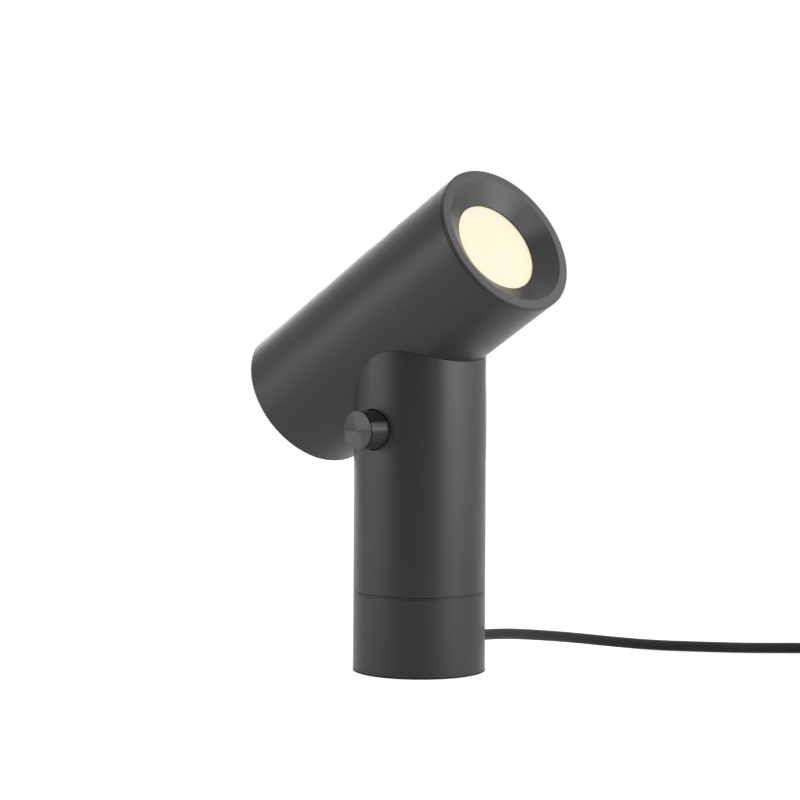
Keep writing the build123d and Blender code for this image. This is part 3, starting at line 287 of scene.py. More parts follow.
def braided_textile(name, base, strands=16, pitch=0.0105):
    """A lead's braided cover, from the piece's own UV map: U runs along in metres, V once round. Its
    colour carries painted shade in the weave's hollows.
    """
    braid = Finish(name, base, 0.82)
    braid.set("Specular IOR Level", 0.35)
    braid.set("Sheen Weight", 0.25)
    braid.set("Sheen Roughness", 0.5)
    along = braid.add("ShaderNodeTexCoord").outputs["UV"]
    height = None
    for way in (-1, 1):
        slope = (way * strands / 2 / pitch, strands / 2, 0)
        turns = braid.add("ShaderNodeVectorMath", {0: along, 1: slope}, operation="DOT_PRODUCT")
        wave = braid.add("ShaderNodeMath", {0: turns.outputs["Value"], 1: 2 * pi}, operation="MULTIPLY")
        sine = braid.add("ShaderNodeMath", {0: wave.outputs["Value"]}, operation="SINE").outputs["Value"]
        height = braid.joined(height, sine, "MULTIPLY") if height else sine
    fibres = braid.noise(0.00012, 2.0)
    # Painted shade and painted highlight: the colour is darker in the weave's hollows and lighter on its
    # crests, and the fibre noise adds a random tone over it.
    shade = braid.ranged(height, 0.0, 0.8, -1.0, 1.0)
    braid.tint(braid.joined(shade, braid.ranged(fibres, 0.0, 0.3), "ADD"), 0.7, 1.35)
    braid.relief(height, 0.00016)
    braid.relief(fibres, 0.00004)
    return braid.material


def moulded_plastic(name, base, roughness):
    """Moulded plastic with a fine spark-eroded grain and faint flow clouds."""
    plastic = Finish(name, base, roughness)
    plastic.tint(plastic.noise(0.012, 4.0), 0.88, 1.12)
    plastic.worn(plastic.noise(0.003, 3.0), roughness - 0.05, roughness + 0.07)
    plastic.relief(plastic.noise(0.00035, 2.0), 0.00001)
    return plastic.material


def soft_rubber(name, base):
    """Matt rubber, dusty in its grain."""
    rubber = Finish(name, base, 0.85)
    rubber.set("Specular IOR Level", 0.3)
    rubber.tint(rubber.noise(0.002, 5.0), 0.75, 1.35)
    rubber.worn(rubber.noise(0.006, 3.0), 0.78, 0.92)
    rubber.relief(rubber.noise(0.0004, 3.0), 0.00003)
    return rubber.material


def machined_metal(name, base, roughness):
    """Bare metal with fine machining lines across Z."""
    metal = Finish(name, base, roughness, 1.0)
    lines = metal.noise(0.012, 3.0, where=metal.mapped(scale=(1, 1, 30)))
    metal.tint(metal.noise(0.007, 4.0), 0.86, 1.08)
    metal.worn(lines, roughness - 0.06, roughness + 0.1)
    metal.relief(lines, 0.000006)
    return metal.material


def cast_metal(name, base, roughness, grain=0.0009):
    """Sand or die-cast metal with a pebbled skin."""
    metal = Finish(name, base, roughness, 1.0)
    metal.tint(metal.noise(grain * 6, 5.0), 0.7, 1.2)
    metal.worn(metal.noise(grain * 3, 3.0), roughness - 0.08, roughness + 0.12)
    metal.relief(metal.noise(grain, 4.0), 0.00008)
    return metal.material


def plated_sheet(name, base, roughness):
    """Zinc-plated or nickelled metal with cloudy spangle."""
    metal = Finish(name, base, roughness, 1.0)
    spangle = metal.flecks(0.0035)
    metal.tint(metal.ranged(spangle, 0.0, 1.0, 0.0, 1.0), 0.88, 1.08)
    metal.worn(metal.noise(0.002, 3.0), roughness - 0.06, roughness + 0.1)
    metal.relief(metal.noise(0.0006, 3.0), 0.000008)
    return metal.material


def board_lacquer(name, base):
    """A circuit board's white lacquer, with faint tracks below it."""
    board = Finish(name, base, 0.35)
    slanted = board.mapped(turn=(0.4, 0.9, 0.2))
    tracks = board.waves(0.0022, slanted, 6.0, 0.0, wave_profile="SAW")
    board.tint(board.ranged(tracks, 0.0, 1.0, 0.45, 0.55), 0.9, 1.05)
    board.worn(board.noise(0.004, 3.0), 0.28, 0.42)
    board.relief(tracks, 0.00002)
    return board.material


def phosphor(name, base):
    """A lit chip's phosphor in its clear dam."""
    chip = Finish(name, base, 0.3)
    chip.set("Emission Strength", 1.2)
    chip.set("Emission Color", (1.0, 0.86, 0.55, 1.0))
    chip.tint(chip.noise(0.0006, 3.0), 0.85, 1.1)
    chip.relief(chip.noise(0.0004, 3.0), 0.00003)
    return chip.material


# Making ----------


def settings():
    """The lamp's sizes, colours and stage."""
    scene = bpy.context.scene
    return scene.lamp_sizes, scene.lamp_colours, scene.lamp_stage


def axis_frame(height, side, up, along):
    """A frame at a height on the column's axis, from the directions of its X, Y and Z."""
    return Matrix.Translation((0, 0, height)) @ Matrix((side, up, along)).transposed().to_4x4()


def head_frame():
    """The head's own frame: X is the lamp's +Y, Y is the head's up and Z runs out along the head."""
    sizes = bpy.context.scene.lamp_sizes
    tilt = sizes.head_tilt
    up, along = (-sin(tilt), 0, cos(tilt)), (cos(tilt), 0, sin(tilt))
    return axis_frame(sizes.head_height, (0, 1, 0), up, along)


def knob_frame():
    """The knob's own frame: Z runs out along the knob, Y is up."""
    return axis_frame(bpy.context.scene.lamp_sizes.knob_height, (1, 0, 0), (0, 0, 1), (0, -1, 0))


def cord_frame():
    """The lead's frame where it leaves the base: Z runs out along +Y."""
    return axis_frame(bpy.context.scene.lamp_sizes.cord_height, (-1, 0, 0), (0, 0, 1), (0, 1, 0))


def downwards(placed, *away):
    """A frame moved by away, whose Z then points down the placed frame's Y."""
    return placed @ Matrix.Translation(away) @ Matrix.Rotation(radians(90), 4, "X")


def deselect():
    """Leaves object mode with nothing selected."""
    if bpy.context.mode != "OBJECT":
        bpy.ops.object.mode_set(mode="OBJECT")
    bpy.ops.object.select_all(action="DESELECT")


def take(piece):
    """Makes a piece the only one selected, and the active one."""
    deselect()
    piece.select_set(True)
    bpy.context.view_layer.objects.active = piece


def edit(kind="VERT", action="SELECT"):
    """Goes into edit mode to pick points, lines or faces, with all or none of them selected."""
    bpy.ops.object.mode_set(mode="EDIT")
    bpy.ops.mesh.select_mode(type=kind)
    bpy.ops.mesh.select_all(action=action)


def finish_edit():
    """Leaves edit mode."""
    bpy.ops.object.mode_set(mode="OBJECT")


def settle():
    """Puts the active piece's place, turn and size into its mesh."""
    bpy.ops.object.transform_apply(location=True, rotation=True, scale=True)


def select_vertices(piece, test):
    """In edit mode's vertex selection, selects the vertices that pass a test of their place."""
    edit(action="DESELECT")
    finish_edit()
    for vertex in piece.data.vertices:
        vertex.select = test(vertex.co)
    bpy.ops.object.mode_set(mode="EDIT")


def turned(name, corners, placed=Matrix(), rounding=None, steps=192, sharp=()):
    """A turned piece: a point is drawn round the corners, given in millimetres as radius and height,
    the corners are rounded, and the outline is spun about Z and placed. An outline that starts on the
    axis stays open. sharp lists the corners that aren't rounded."""
    sizes = bpy.context.scene.lamp_sizes
    rounding = sizes.edge_round if rounding is None else rounding
    deselect()
    bpy.ops.mesh.primitive_plane_add(size=0.001)
    piece = bpy.context.object
    piece.name = name
    edit()
    bpy.ops.mesh.merge(type="CENTER")
    spots = [Vector((radius * MM, 0, height * MM)) for radius, height in corners]
    bpy.ops.transform.translate(value=spots[0])
    for before, after in zip(spots, spots[1:]):
        bpy.ops.mesh.extrude_vertices_move(TRANSFORM_OT_translate={"value": after - before})
    closed = corners[0][0] > 0
    if closed:
        bpy.ops.mesh.extrude_vertices_move(TRANSFORM_OT_translate={"value": spots[0] - spots[-1]})
        bpy.ops.mesh.select_all(action="SELECT")
        bpy.ops.mesh.remove_doubles(threshold=2e-6)
    if rounding > 0:
        kept = [spots[index] for index in sharp]
        select_vertices(
            piece, lambda co: co.x > SAME and all((co - corner).length > SAME for corner in kept)
        )
        bpy.ops.mesh.bevel(offset=rounding, segments=3, affect="VERTICES", clamp_overlap=True)
    bpy.ops.mesh.select_all(action="SELECT")
    bpy.ops.mesh.spin(steps=steps, angle=2 * pi, center=(0, 0, 0), axis=(0, 0, 1))
    bpy.ops.mesh.select_all(action="SELECT")
    bpy.ops.mesh.remove_doubles(threshold=1e-7)
    bpy.ops.mesh.normals_make_consistent(inside=False)
    finish_edit()
    place(piece, placed)
    return piece


def place(piece, placed):
    """Puts a piece in its place, and its place into its mesh."""
    take(piece)
    piece.matrix_world = placed @ piece.matrix_world
    settle()


def cutter(placed, radius, depth, vertices=128):
    """A round cutter from the placed frame's origin, up its Z."""
    deselect()
    middle = (0, 0, depth / 2)
    bpy.ops.mesh.primitive_cylinder_add(vertices=vertices, radius=radius, depth=depth, location=middle)
    tool = bpy.context.object
    settle()
    place(tool, placed)
    return tool


def cut(piece, tool, how="DIFFERENCE"):
    """Cuts a tool out of a piece, or joins it to the piece, and puts the tool away."""
    take(piece)
    modifier = piece.modifiers.new("Cut", "BOOLEAN")
    modifier.operation = how
    modifier.solver = "EXACT"
    modifier.object = tool
    bpy.ops.object.modifier_apply(modifier=modifier.name)
    bpy.data.objects.remove(tool)
    if not piece.data.polygons:
        raise RuntimeError(f"cutting {piece.name} left nothing of it")


def dressed(piece, body, slot, material, *nodes):
    """Smooths a piece, gives it its finish, and has it ride on its body in place of its CAD nodes."""
    take(piece)
    bpy.ops.object.shade_smooth_by_angle(angle=radians(40))
    weighted = piece.modifiers.new("Weighted normals", "WEIGHTED_NORMAL")
    weighted.keep_sharp = True
    bpy.ops.object.modifier_apply(modifier=weighted.name)
    piece.data.materials.clear()
    piece.data.materials.append(material)
    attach(piece, body)
    if nodes:
        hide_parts(*nodes)
    return piece


def finished(name, make, *arguments):
    """A material by its name, made once."""
    return bpy.data.materials.get(name) or make(name, *arguments)


def black_plastic():
    """The black plastic of the plug and the gland."""
    return finished("Black moulded plastic", moulded_plastic, (0.018, 0.018, 0.018), 0.5)


def body_paint():
    """The satin paint of the head, column and base."""
    return finished("Satin paint", satin_paint, tuple(bpy.context.scene.lamp_colours.body))


# Operators ----------


CAMERA_PLACE = (1.029658, -1.031087, 0.229162)
CAMERA_TURN = (86.8648, -0.27915, 45.41476)  # degrees
CAMERA_BEARING = -45.04  # degrees round the column, from +X to the camera
AIM_HEIGHT = 150 * MM
SCREEN_MIDDLE = -52.5  # degrees to the camera's right
SCREEN_HALF = 97.5  # degrees from the dark screen's middle to each end
SOFTBOXES = (
    # name, degrees to the camera's right, degrees up, metres wide and high, setting, metres away
    ("Left softbox", -76, 6.5, (1.25, 0.55), "left_light", 1.5),
    ("Low left card", -76, -13, (0.5, 0.1), "low_left_light", 0.42),
    ("High left softbox", -142, 54, (0.9, 0.6), "high_left_light", 1.5),
    ("Far left softbox", -128, 17.5, (1.52, 1.07), "far_light", 1.5),
    ("Right softbox", 75, 17.5, (1.9, 1.07), "right_light", 1.5),
    ("Low right strip", 60, 7.5, (1.17, 0.55), "low_light", 1.5),
    ("Rear strip", -174, 5, (1.5, 0.42), "rear_light", 1.5),
    ("High rear softbox", 176, 31, (1.3, 0.5), "high_rear_light", 1.5),
    ("Front softbox", 30, 30, (0.42, 0.42), "front_light", 1.5),
    ("High right softbox", 102, 32, (0.9, 0.65), "high_light", 1.5),
)


class LAMP_OT_stage(bpy.types.Operator):
    """Lays the floor, sets the lights and stands the camera"""

    bl_idname = "lamp.stage"
    bl_label = "Stage"

    def execute(self, context):
        stage = context.scene.lamp_stage
        context.scene.view_settings.view_transform = "Standard"
        self.stand_camera(context, stage)
        self.lay_floor(stage)
        self.set_surround(context, stage)
        self.stand_screen()
        for name, azimuth, elevation, size, setting, distance in SOFTBOXES:
            self.softbox(name, azimuth, elevation, size, getattr(stage, setting), distance)
        return {"FINISHED"}

    def stand_camera(self, context, stage):
        camera = bpy.data.objects.new("Camera", bpy.data.cameras.new("Camera"))
        context.scene.collection.objects.link(camera)
        camera.location = CAMERA_PLACE
        camera.rotation_euler = [radians(turn) for turn in CAMERA_TURN]
        camera.data.lens = stage.lens
        camera.data.sensor_width = 36.0
        camera.data.clip_start = 0.05
        camera.data.clip_end = 50.0
        context.scene.camera = camera

    def seen(self, tree):
        """One where the ray comes from the camera, a reflection or a pane, and nought elsewhere."""
        path = node(tree, "ShaderNodeLightPath")
        total = path.outputs["Is Camera Ray"]
        for ray in ("Is Glossy Ray", "Is Transmission Ray"):
            total = self.maths(tree, "MAXIMUM", total, path.outputs[ray])
        return total

    def maths(self, tree, how, first, second):
        """Two values brought together."""
        return node(tree, "ShaderNodeMath", {0: first, 1: second}, operation=how).outputs["Value"]

    def plain(self, name, shade):
        """A plain matt material, to which the stage's own nodes are added."""
        material = bpy.data.materials.new(name)
        material.use_nodes = True
        shader = material.node_tree.nodes["Principled BSDF"]
        shader.inputs["Base Color"].default_value = (shade, shade, shade, 1.0)
        shader.inputs["Specular IOR Level"].default_value = 0.0
        return material, shader

    def lay_floor(self, stage):
        """Lays a floor that shines of itself, more so to the camera the further out it is."""
        deselect()
        bpy.ops.mesh.primitive_circle_add(vertices=96, radius=4.0, fill_type="NGON")
        floor = bpy.context.object
        floor.name = "Floor"
        material, shader = self.plain("Pale floor", 0.8)
        shader.inputs["Roughness"].default_value = 0.9
        shader.inputs["Emission Color"].default_value = (1.0, 1.0, 1.0, 1.0)
        tree = material.node_tree
        share = self.maths(tree, "MULTIPLY", self.seen(tree), stage.floor_glow)
        place = node(tree, "ShaderNodeTexCoord").outputs["Object"]
        reach = node(tree, "ShaderNodeVectorMath", {0: place}, operation="LENGTH").outputs["Value"]
        fade = {"From Min": 0.35, "From Max": 1.1, "To Min": 0.72, "To Max": 1.0, "Value": reach}
        far = node(tree, "ShaderNodeMapRange", fade).outputs["Result"]
        camera_ray = node(tree, "ShaderNodeLightPath").outputs["Is Camera Ray"]
        total = self.maths(tree, "MAXIMUM", share, self.maths(tree, "MULTIPLY", camera_ray, far))
        tree.links.new(total, shader.inputs["Emission Strength"])
        floor.data.materials.append(material)

    def set_surround(self, context, stage):
        world = bpy.data.worlds.new("White surround")
        context.scene.world = world
        world.use_nodes = True
        tree = world.node_tree
        background = tree.nodes["Background"]
        background.inputs["Color"].default_value = (1.0, 1.0, 1.0, 1.0)
        ends = {"To Min": stage.surround, "To Max": 1.0, "Value": self.seen(tree)}
        strength = node(tree, "ShaderNodeMapRange", ends).outputs["Result"]
        tree.links.new(strength, background.inputs["Strength"])

    def stand_screen(self):
        """Stands a curved dark screen round the camera's side, that only reflections show."""
        deselect()
        bpy.ops.mesh.primitive_cylinder_add(vertices=96, radius=2.0, depth=2.4, end_fill_type="NOTHING")
        screen = bpy.context.object
        screen.name = "Dark_screen"
        screen.location = (0, 0, 1.2)
        settle()
        middle = radians(SCREEN_MIDDLE + CAMERA_BEARING)
        facing = Vector((cos(middle), sin(middle)))
        end = cos(radians(SCREEN_HALF))
        select_vertices(screen, lambda co: co.xy.normalized().dot(facing) < end)
        bpy.ops.mesh.delete(type="VERT")
        finish_edit()
        screen.data.materials.append(self.plain("Dark cloth", 0.03)[0])
        screen.visible_camera = False

    def softbox(self, name, azimuth, elevation, size, watts, distance):
        """A softbox round the lamp, turned towards it."""
        light = bpy.data.lights.new(name, "AREA")
        light.shape = "RECTANGLE"
        light.size, light.size_y = size
        light.energy = watts
        holder = bpy.data.objects.new(name, light)
        bpy.context.scene.collection.objects.link(holder)
        bearing, rise = radians(azimuth + CAMERA_BEARING), radians(elevation)
        away = Vector((cos(bearing) * cos(rise), sin(bearing) * cos(rise), sin(rise)))
        holder.location = Vector((0, 0, AIM_HEIGHT)) + away * distance
        holder.rotation_euler = away.to_track_quat("Z", "Y").to_euler()
        holder.visible_camera = False


# The lead's route in millimetres, from the gland to the coil and from the coil to the plug
RUN = [(0, 47.62, 14.45), (0, 64, 13.9), (3.5, 90, 10.95), (12, 115, 7.7), (25.5, 136, 4.55)]
RUN += [(43, 150.5, 3.1), (64, 164.5, 3.1), (87, 181.5, 3.1), (108, 204.5, 3.1)]
RUN += [(126.2, 223.4, 3.1), (144.5, 240.2, 3.1)]
TAIL = [(221.3, 208.4, 9.3), (221.6, 195.4, 9.1), (220.8, 181.8, 7.7), (219.6, 168.4, 6.9)]
PLUG_PLACE = Vector((219.6, 168.1, 6.9)) * MM
PIN_SIDES = (-9.3, 9.3)


class LAMP_OT_plug(bpy.types.Operator):
    """Moulds the two-pin plug on the lead's end, with its ribbed relief, grip and sleeved pins"""

    bl_idname = "lamp.plug"
    bl_label = "Plug"

    def execute(self, context):
        placed = downwards(Matrix(), *PLUG_PLACE)
        body = self.grip(placed)
        relief = [(3.1, 0.0), (3.75, 0.0)]
        for start in (2.2, 5.2, 8.2, 11.2):
            wide = 3.75 + start * 0.097
            relief += [(wide, start), (wide - 0.55, start + 0.15)]
            relief += [(wide - 0.5, start + 1.05), (wide + 0.1, start + 1.2)]
        relief += [(5.3, 16.2), (3.1, 16.2)]
        cut(body, turned("plug_relief", relief, placed, rounding=0.12 * MM, steps=64), "UNION")
        axes = [placed @ Matrix.Translation((side * MM, 0, 0)) for side in PIN_SIDES]
        sleeve = [(1.7, 48), (1.95, 48), (1.95, 60), (1.7, 60)]
        for axis in axes:
            cut(body, turned("sleeve", sleeve, axis, 0.08 * MM, 48), "UNION")
        dressed(body, "base", "black_plastic", black_plastic(), "plug_body")
        pins = [self.pin(axis) for axis in axes]
        take(pins[0])
        pins[1].select_set(True)
        bpy.ops.object.join()
        brass = finished("Nickelled brass", plated_sheet, (0.72, 0.69, 0.62), 0.2)
        dressed(pins[0], "base", "plated_brass", brass, "plug_pins")
        return {"FINISHED"}

    def grip(self, placed):
        """The plug's body: rounded sections from the relief to the face, with three grip rings."""
        deselect()
        bpy.ops.mesh.primitive_plane_add(size=1.0)
        body = bpy.context.object
        body.name = "moulded_plug"
        body.scale = (13 * MM, 11 * MM, 1)
        settle()
        edit()
        bpy.ops.mesh.bevel(offset=3.6 * MM, segments=8, affect="VERTICES")
        bpy.ops.transform.translate(value=(0, 0, 15 * MM))
        width, thickness, reach = 13.0, 11.0, 15.0
        sections = [(15.4, 11.4, 17.5), (21.6, 12.6, 23), (28.2, 13.5, 28)]
        sections += [(30.3, 13.7, 31), (31.6, 13.7, 34)]
        for start in (35.0, 38.5, 42.0):
            wide = 30.3 + (start - 31) * 0.263
            sections += [(wide, 13.7, start), (wide - 1.1, 12.6, start + 0.3)]
            sections += [(wide - 0.9, 12.6, start + 1.5), (wide + 0.45, 13.7, start + 1.8)]
        sections += [(35.3, 13.7, 49.2), (35.3, 13.7, 50)]
        for wide, thick, station in sections:
            step = (0, 0, (station - reach) * MM)
            bpy.ops.mesh.extrude_region_move(TRANSFORM_OT_translate={"value": step})
            bpy.ops.transform.resize(value=(wide / width, thick / thickness, 1))
            width, thickness, reach = wide, thick, station
        bpy.ops.mesh.select_mode(type="EDGE")
        bpy.ops.mesh.bevel(offset=0.7 * MM, segments=3, affect="EDGES")
        bpy.ops.mesh.select_all(action="SELECT")
        bpy.ops.mesh.normals_make_consistent(inside=False)
        finish_edit()
        place(body, placed)
        return body

    def pin(self, placed):
        """One pin, with the neck that its sleeve is moulded round and its rounded tip."""
        corners = [(0, 49), (1.68, 49), (1.68, 60.1), (2.0, 60.1), (2.0, 67.2), (1.35, 68.7), (0, 69)]
        return turned("plated_pins", corners, placed, rounding=0.3 * MM, steps=64)


class LAMP_OT_lead(bpy.types.Operator):
    """Lays the braided lead: its run over the table, its coil and its tail to the plug"""

    bl_idname = "lamp.lead"
    bl_label = "Lead"

    def coil(self):
        """The coil's turns: half of them inwards on the table, then as many outwards on top of them."""
        centre, outer, inner, low, high = (176.3, 208.4), 45.0, 23.3, 3.1, 9.3
        inwards, climb, points_each = 3.5, 0.375, 16
        points = []
        for count in range(1, int((2 * inwards + climb) * points_each)):
            turns = count / points_each
            angle = radians(135) - turns * 2 * pi
            if turns <= inwards:
                radius, height = outer + (inner - outer) * turns / inwards, low
            elif turns <= inwards + climb:
                share = (turns - inwards) / climb
                radius, height = inner, low + (high - low) * (3 - 2 * share) * share**2
            else:
                radius, height = inner + (outer - inner) * (turns - inwards - climb) / inwards, high
            points.append((centre[0] + radius * cos(angle), centre[1] + radius * sin(angle), height))
        return points

    def execute(self, context):
        sizes, colours, _ = settings()
        points = RUN + self.coil() + TAIL
        line = bpy.data.curves.new("Lead line", "CURVE")
        line.dimensions = "3D"
        spline = line.splines.new("NURBS")
        spline.points.add(len(points) - 1)
        for knot, point in zip(spline.points, points):
            knot.co = (*[value * MM for value in point], 1.0)
        spline.order_u = 3
        spline.use_endpoint_u = True
        line.resolution_u = 5
        deselect()
        lead = bpy.data.objects.new("textile_lead", line)
        context.scene.collection.objects.link(lead)
        followed = bpy.data.meshes.new_from_object(lead)
        path = [vertex.co.copy() for vertex in followed.vertices]
        bpy.data.meshes.remove(followed)
        line.bevel_depth = sizes.cord_radius
        line.bevel_resolution = 5
        line.use_fill_caps = True
        take(lead)
        bpy.ops.object.convert(target="MESH")
        lead = context.object
        self.measure_map(lead.data, path)
        lead.data.materials.clear()
        lead.data.materials.append(finished("Braided textile", braided_textile, tuple(colours.lead)))
        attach(lead, "base")
        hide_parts("cord_run", "cord_coil", "cord_tail")
        return {"FINISHED"}

    def measure_map(self, mesh, path):
        """Makes the map's U run in metres along the lead."""
        run = [0.0]
        for before, after in zip(path, path[1:]):
            run.append(run[-1] + (after - before).length)
        whole = len(path) - 1
        for loop in mesh.uv_layers.active.data:
            along = min(max(loop.uv.x, 0.0), 1.0) * whole
            index = min(int(along), whole - 1)
            loop.uv.x = run[index] + (run[index + 1] - run[index]) * (along - index)


class LAMP_OT_head_tube(bpy.types.Operator):
    """Turns the head's tube, with its screws' and wires' holes"""

    bl_idname = "lamp.head_tube"
    bl_label = "Head tube"

    def execute(self, context):
        sizes = context.scene.lamp_sizes
        outer, bore, rear = sizes.head_radius / MM, sizes.head_bore / MM, sizes.head_rear / MM
        front = sizes.head_front / MM - 1.7
        corners = [(bore, -rear), (outer, -rear), (outer, front), (bore, front)]
        tube = turned("painted_head_tube", corners, head_frame())
        screw, wires = 2.7 * MM, 5.0 * MM
        for station, radius in ((-43.0, screw), (-7.0, screw), (-25.0, wires)):
            below = downwards(head_frame(), 0, -37 * MM, station * MM)
            cut(tube, cutter(below, radius, 8 * MM, 48))
        dressed(tube, "upper", "body_paint", body_paint(), "head_tube")
        return {"FINISHED"}


class LAMP_OT_bezel(bpy.types.Operator):
    """Turns the front bezel: a flat ring, a shallow cone and the spigot behind them"""

    bl_idname = "lamp.bezel"
    bl_label = "Front bezel"

    def execute(self, context):
        sizes = context.scene.lamp_sizes
        front, outer, spigot = sizes.head_front / MM, sizes.head_radius / MM, sizes.head_bore / MM - 0.1
        corners = [
            (37.3, front), (outer - 0.6, front), (outer, front - 0.6), (outer, front - 1.45),
            (spigot, front - 1.45), (spigot, front - 9.0), (spigot - 1.3, front - 9.0),
            (spigot - 1.3, front - 11.0), (spigot, front - 11.0), (spigot, front - 16.0),
            (spigot - 2.4, front - 16.0), (spigot - 2.4, front - 3.4), (29.6, front - 7.5),
            (29.6, front - 12.4), (28.2, front - 12.4), (28.2, front - 8.9), (25.45, front - 8.9),
            (25.45, front - 8.1),
        ]
        bezel = turned("painted_bezel", corners, head_frame(), rounding=0.15 * MM)
        dressed(bezel, "upper", "body_paint", body_paint(), "front_bezel")
        return {"FINISHED"}


class LAMP_OT_diffuser(bpy.types.Operator):
    """Turns the opal disc that the light comes through"""

    bl_idname = "lamp.diffuser"
    bl_label = "Opal disc"

    def execute(self, context):
        sizes, colours, stage = settings()
        front = sizes.head_front / MM - 8.9
        opal = finished("Lit opal", lit_opal, tuple(colours.glow), stage.glow_strength)
        corners = [(0, front - 0.02), (28.0, front - 0.02), (28.0, front - 3.5), (0, front - 3.5)]
        disc = turned("opal_disc", corners, head_frame(), rounding=0.3 * MM, steps=128)
        dressed(disc, "upper", "opal_glass", opal, "front_diffuser")
        return {"FINISHED"}


class LAMP_OT_rear_cap(bpy.types.Operator):
    """Turns the cap that closes the head's rear"""

    bl_idname = "lamp.rear_cap"
    bl_label = "Rear cap"

    def execute(self, context):
        sizes = context.scene.lamp_sizes
        face, rim = 1.6 - sizes.head_rear / MM, sizes.head_bore / MM - 0.2
        corners = [
            (0, face), (rim - 0.5, face), (rim, face + 0.5), (rim, face + 6.0),
            (rim - 1.2, face + 6.0), (rim - 1.2, face + 8.0), (rim, face + 8.0), (rim, face + 12.0),
            (rim - 2.5, face + 12.0), (rim - 2.5, face + 4.4), (rim - 4.5, face + 2.4),
            (0, face + 2.4),
        ]
        cap = turned("painted_rear_cap", corners, head_frame(), rounding=0.2 * MM)
        dressed(cap, "upper", "body_paint", body_paint(), "rear_cap")
        return {"FINISHED"}


class LAMP_OT_column(bpy.types.Operator):
    """Turns the column's tube, scoops its saddle for the head and bores the knob's port"""

    bl_idname = "lamp.column"
    bl_label = "Column"

    def execute(self, context):
        sizes = context.scene.lamp_sizes
        radius, low, top = sizes.column_radius / MM, sizes.seam_high / MM, 178.0
        corners = [
            (radius, top), (34.2, top), (34.2, 117.0), (32.5, 117.0), (32.5, 46.6), (34.2, 46.6),
            (34.2, low), (radius, low),
        ]
        column = turned("saddled_column", corners, rounding=0.12 * MM, steps=256, sharp=(0, 1))
        self.scoop(column, sizes, top * MM)
        port = knob_frame() @ Matrix.Translation((0, 0, 20 * MM))
        cut(column, cutter(port, sizes.knob_port, 20 * MM, 96))
        dressed(column, "upper", "body_paint", body_paint(), "column_tube")
        return {"FINISHED"}

    def scoop(self, column, sizes, top):
        """Drops the tube's top edge on to the head's round, and breaks it."""
        rear = head_frame() @ Matrix.Translation((0, 0, -sizes.head_rear))
        radius, long = sizes.head_radius + sizes.saddle_gap, sizes.head_rear + sizes.head_front
        form = cutter(rear, radius, long, 720)
        take(column)
        edge = column.vertex_groups.new(name="saddle_edge")
        highest = [vertex.index for vertex in column.data.vertices if vertex.co.z > top - 0.01 * MM]
        edge.add(highest, 1.0, "REPLACE")
        drop = column.modifiers.new("Drop", "SHRINKWRAP")
        drop.target = form
        drop.wrap_method = "PROJECT"
        drop.use_project_z = True
        drop.use_negative_direction = True
        drop.use_positive_direction = False
        drop.vertex_group = edge.name
        bpy.ops.object.modifier_apply(modifier=drop.name)
        bpy.data.objects.remove(form)
        take(column)
        edit(action="DESELECT")
        bpy.ops.object.vertex_group_select()
        bpy.ops.mesh.select_mode(type="EDGE")
        self.drop_cross_edges(column)
        bpy.ops.mesh.bevel(offset=0.28 * MM, segments=2, affect="EDGES", clamp_overlap=True)
        finish_edit()
        column.vertex_groups.clear()

    def drop_cross_edges(self, column):
        """Leaves only the two rims selected, without the edges that cross the wall."""
        finish_edit()
        places = column.data.vertices
        for line in column.data.edges:
            if line.select:
                first, second = (places[index].co for index in line.vertices)
                line.select = abs(first.xy.length - second.xy.length) < 0.5 * MM
        bpy.ops.object.mode_set(mode="EDIT")


